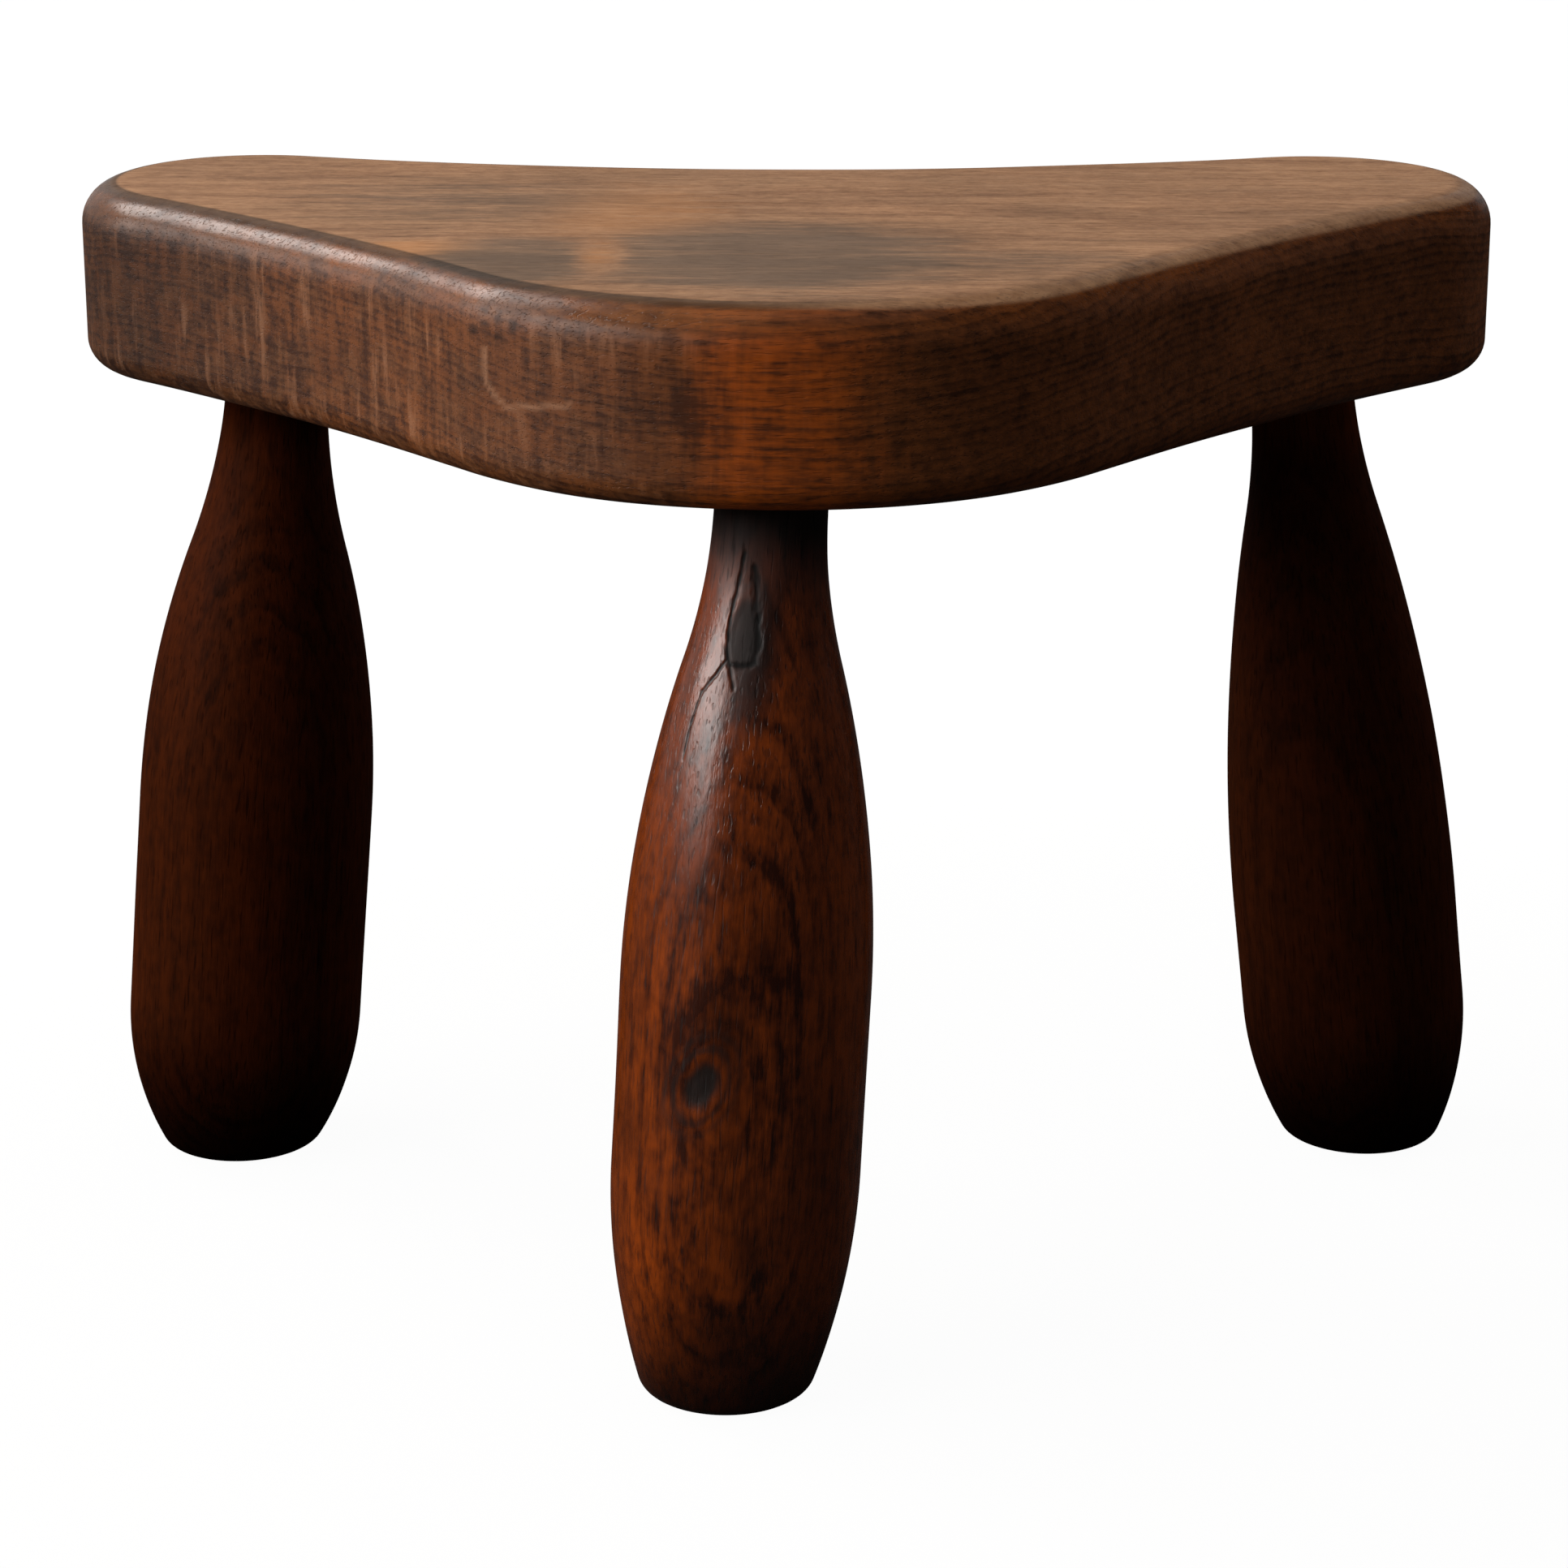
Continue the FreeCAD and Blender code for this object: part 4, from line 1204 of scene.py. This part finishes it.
# Soft lamps: name, place, width, height, power and whether they show in polished wood
LAMPS = (
    ("window", (-1.87, -0.53, 0.98), 1.8, 0.78, 36.0, True),
    ("window_wash", (-1.7, -0.95, 0.94), 1.6, 0.9, 13.0, False),
    ("back_wash", (1.4, 1.1, 0.6), 1.2, 1.0, 6.0, False),
    ("high_window", (-1.36, 0.79, 1.7), 0.9, 0.9, 22.0, True),
    ("sky", (0.4, 0.1, 2.4), 1.6, 1.6, 13.0, False),
)
LAMP_COLOUR = (1.0, 0.98, 0.96)
FLOOR_RADIUS = 4.0
FLOOR_STEPS = 96
# The floor is a hair below the feet, so that both faces stay clear when seen from below
FLOOR_GAP = 0.2 * MM


def add_camera(scene):
    camera = bpy.data.cameras.new("photo_camera")
    camera.lens = CAMERA_LENS
    camera.sensor_width = CAMERA_SENSOR
    camera.clip_end = CAMERA_REACH
    shot = bpy.data.objects.new("photo_camera", camera)
    shot.location = CAMERA_PLACE
    shot.rotation_euler = (math.pi / 2 - CAMERA_PITCH, 0.0, CAMERA_PAN)
    scene.collection.objects.link(shot)
    scene.camera = shot


def add_soft_box(scene, name, location, width, height, power, mirrored):
    """Large soft lamp that faces the middle of the stool, and shows in polished wood or doesn't."""
    lamp = bpy.data.lights.new(name, "AREA")
    lamp.shape = "RECTANGLE"
    lamp.size = width
    lamp.size_y = height
    lamp.energy = power
    lamp.color = LAMP_COLOUR
    box = bpy.data.objects.new(name, lamp)
    box.location = location
    box.rotation_euler = (STAGE_MIDDLE - Vector(location)).to_track_quat("-Z", "Y").to_euler()
    box.visible_camera = False
    box.visible_glossy = mirrored
    scene.collection.objects.link(box)


def floor_finish(colours):
    """Paper floor that the camera sees as white, with the stool's shadow kept faint on it."""
    paper = Finish("floor_paper")
    sheet = paper.add("ShaderNodeBsdfDiffuse")
    paper.feed(sheet.inputs["Color"], colours.floor)
    white = paper.add("ShaderNodeEmission")
    away = paper.vector("LENGTH", paper.add("ShaderNodeTexCoord").outputs["Object"])
    strength = paper.product(paper.seen(), paper.smooth(away, 0.25, 0.8, 0.965, 1.0))
    paper.feed(white.inputs["Color"], WHITE)
    paper.feed(white.inputs["Strength"], strength)
    both = paper.add("ShaderNodeAddShader")
    paper.feed(both.inputs[0], sheet.outputs[0])
    paper.feed(both.inputs[1], white.outputs[0])
    clear = paper.add("ShaderNodeBsdfTransparent")
    choice = paper.add("ShaderNodeMixShader")
    paper.feed(choice.inputs[0], paper.add("ShaderNodeNewGeometry").outputs["Backfacing"])
    paper.feed(choice.inputs[1], both.outputs[0])
    paper.feed(choice.inputs[2], clear.outputs[0])
    output = paper.add("ShaderNodeOutputMaterial")
    paper.feed(output.inputs["Surface"], choice.outputs[0])
    return paper.material


def add_floor(scene, colours):
    disc = Surface()
    ring = disc.add_points([(FLOOR_RADIUS * math.cos(turn), FLOOR_RADIUS * math.sin(turn), -FLOOR_GAP)
                            for turn in np.linspace(0, math.tau, FLOOR_STEPS, endpoint=False)])
    disc.close_ring(ring, (0, 0, -FLOOR_GAP))
    mesh = disc.mesh("floor")
    mesh.materials.append(floor_finish(colours))
    floor = bpy.data.objects.new("floor", mesh)
    scene.collection.objects.link(floor)


def light_world(scene):
    """White backdrop for the camera and for reflections from behind, and a dim room elsewhere."""
    world = bpy.data.worlds.new("studio")
    room = Nodes(world)
    right, back, up = room.axes(room.add("ShaderNodeTexCoord").outputs["Generated"])
    behind = room.smooth(back, 0.0, 0.6)
    wall = room.product(behind, room.smooth(up, 0.65, 0.35), room.smooth(right, 0.6, 0.3))
    mirrored = room.level(wall, 0.45, 0.02)
    soft = room.level(behind, 0.04, 0.17)
    glossy = room.add("ShaderNodeLightPath").outputs["Is Glossy Ray"]
    dim = room.total(room.product(glossy, mirrored), room.product(room.math("SUBTRACT", 1.0, glossy), soft))
    glow = room.add("ShaderNodeBackground")
    room.feed(glow.inputs["Color"], WHITE)
    room.feed(glow.inputs["Strength"], room.math("MAXIMUM", room.seen(), dim))
    output = room.add("ShaderNodeOutputWorld")
    room.feed(output.inputs["Surface"], glow.outputs[0])
    scene.world = world


# Operators

class STOOL_OT_seat(bpy.types.Operator):
    """Make the lobed slab seat"""

    bl_idname = "stool.seat"
    bl_label = "Seat slab"

    def execute(self, context):
        finish = seat_finish(context.scene.stool_colours)
        add_piece("seat_slab", seat_mesh(context), finish, "seat")
        return {"FINISHED"}


class STOOL_OT_legs(bpy.types.Operator):
    """Make the three turned legs"""

    bl_idname = "stool.legs"
    bl_label = "Turned legs"

    def execute(self, context):
        colours = context.scene.stool_colours
        for name in LEGS:
            leg = leg_sizes(context.scene.stool_legs, name)
            finish = leg_finish(name, leg, colours, LEG_LOOKS[name])
            add_piece(f"{name}_leg_turning", leg_mesh(context, name), finish, f"{name}_leg")
        return {"FINISHED"}


class STOOL_OT_wedges(bpy.types.Operator):
    """Give the hidden wedges their raw wood"""

    bl_idname = "stool.wedges"
    bl_label = "Hidden wedges"

    def execute(self, context):
        finish = wedge_finish(context.scene.stool_colours)
        for name in LEGS:
            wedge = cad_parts[f"{name}_wedge"]
            for part in wedge.material_slots:
                part.material = finish
        return {"FINISHED"}


class STOOL_OT_stage(bpy.types.Operator):
    """Set up the floor, the soft light and the camera"""

    bl_idname = "stool.stage"
    bl_label = "Stage"

    def execute(self, context):
        scene = context.scene
        scene.view_settings.view_transform = "Standard"
        add_camera(scene)
        add_floor(scene, scene.stool_colours)
        light_world(scene)
        for lamp in LAMPS:
            add_soft_box(scene, *lamp)
        return {"FINISHED"}


class STOOL_PT_panel(bpy.types.Panel):
    """Steps and sizes of the stool"""

    bl_idname = "STOOL_PT_panel"
    bl_label = "Three-legged stool"
    bl_space_type = "VIEW_3D"
    bl_region_type = "UI"
    bl_category = "Stool"

    def draw(self, context):
        for operator in (STOOL_OT_seat, STOOL_OT_legs, STOOL_OT_wedges, STOOL_OT_stage):
            self.layout.operator(operator.bl_idname)
        for group in GROUPS:
            box = self.layout.box()
            for name in GROUPS[group].__annotations__:
                box.prop(getattr(context.scene, group), name)


GROUPS = {
    "stool_seat": StoolSeatSizes,
    "stool_joint": StoolJointSizes,
    "stool_legs": StoolLegSizes,
    "stool_colours": StoolColours,
}
CLASSES = (*GROUPS.values(), STOOL_OT_seat, STOOL_OT_legs, STOOL_OT_wedges, STOOL_OT_stage, STOOL_PT_panel)


def register():
    for item in CLASSES:
        bpy.utils.register_class(item)
    for name, group in GROUPS.items():
        setattr(bpy.types.Scene, name, PointerProperty(type=group))


def unregister():
    for name in GROUPS:
        delattr(bpy.types.Scene, name)
    for item in reversed(CLASSES):
        bpy.utils.unregister_class(item)


def main():
    register()
    bpy.ops.stool.seat()
    bpy.ops.stool.legs()
    bpy.ops.stool.wedges()
    bpy.ops.stool.stage()


if __name__ == "__main__":
    main()
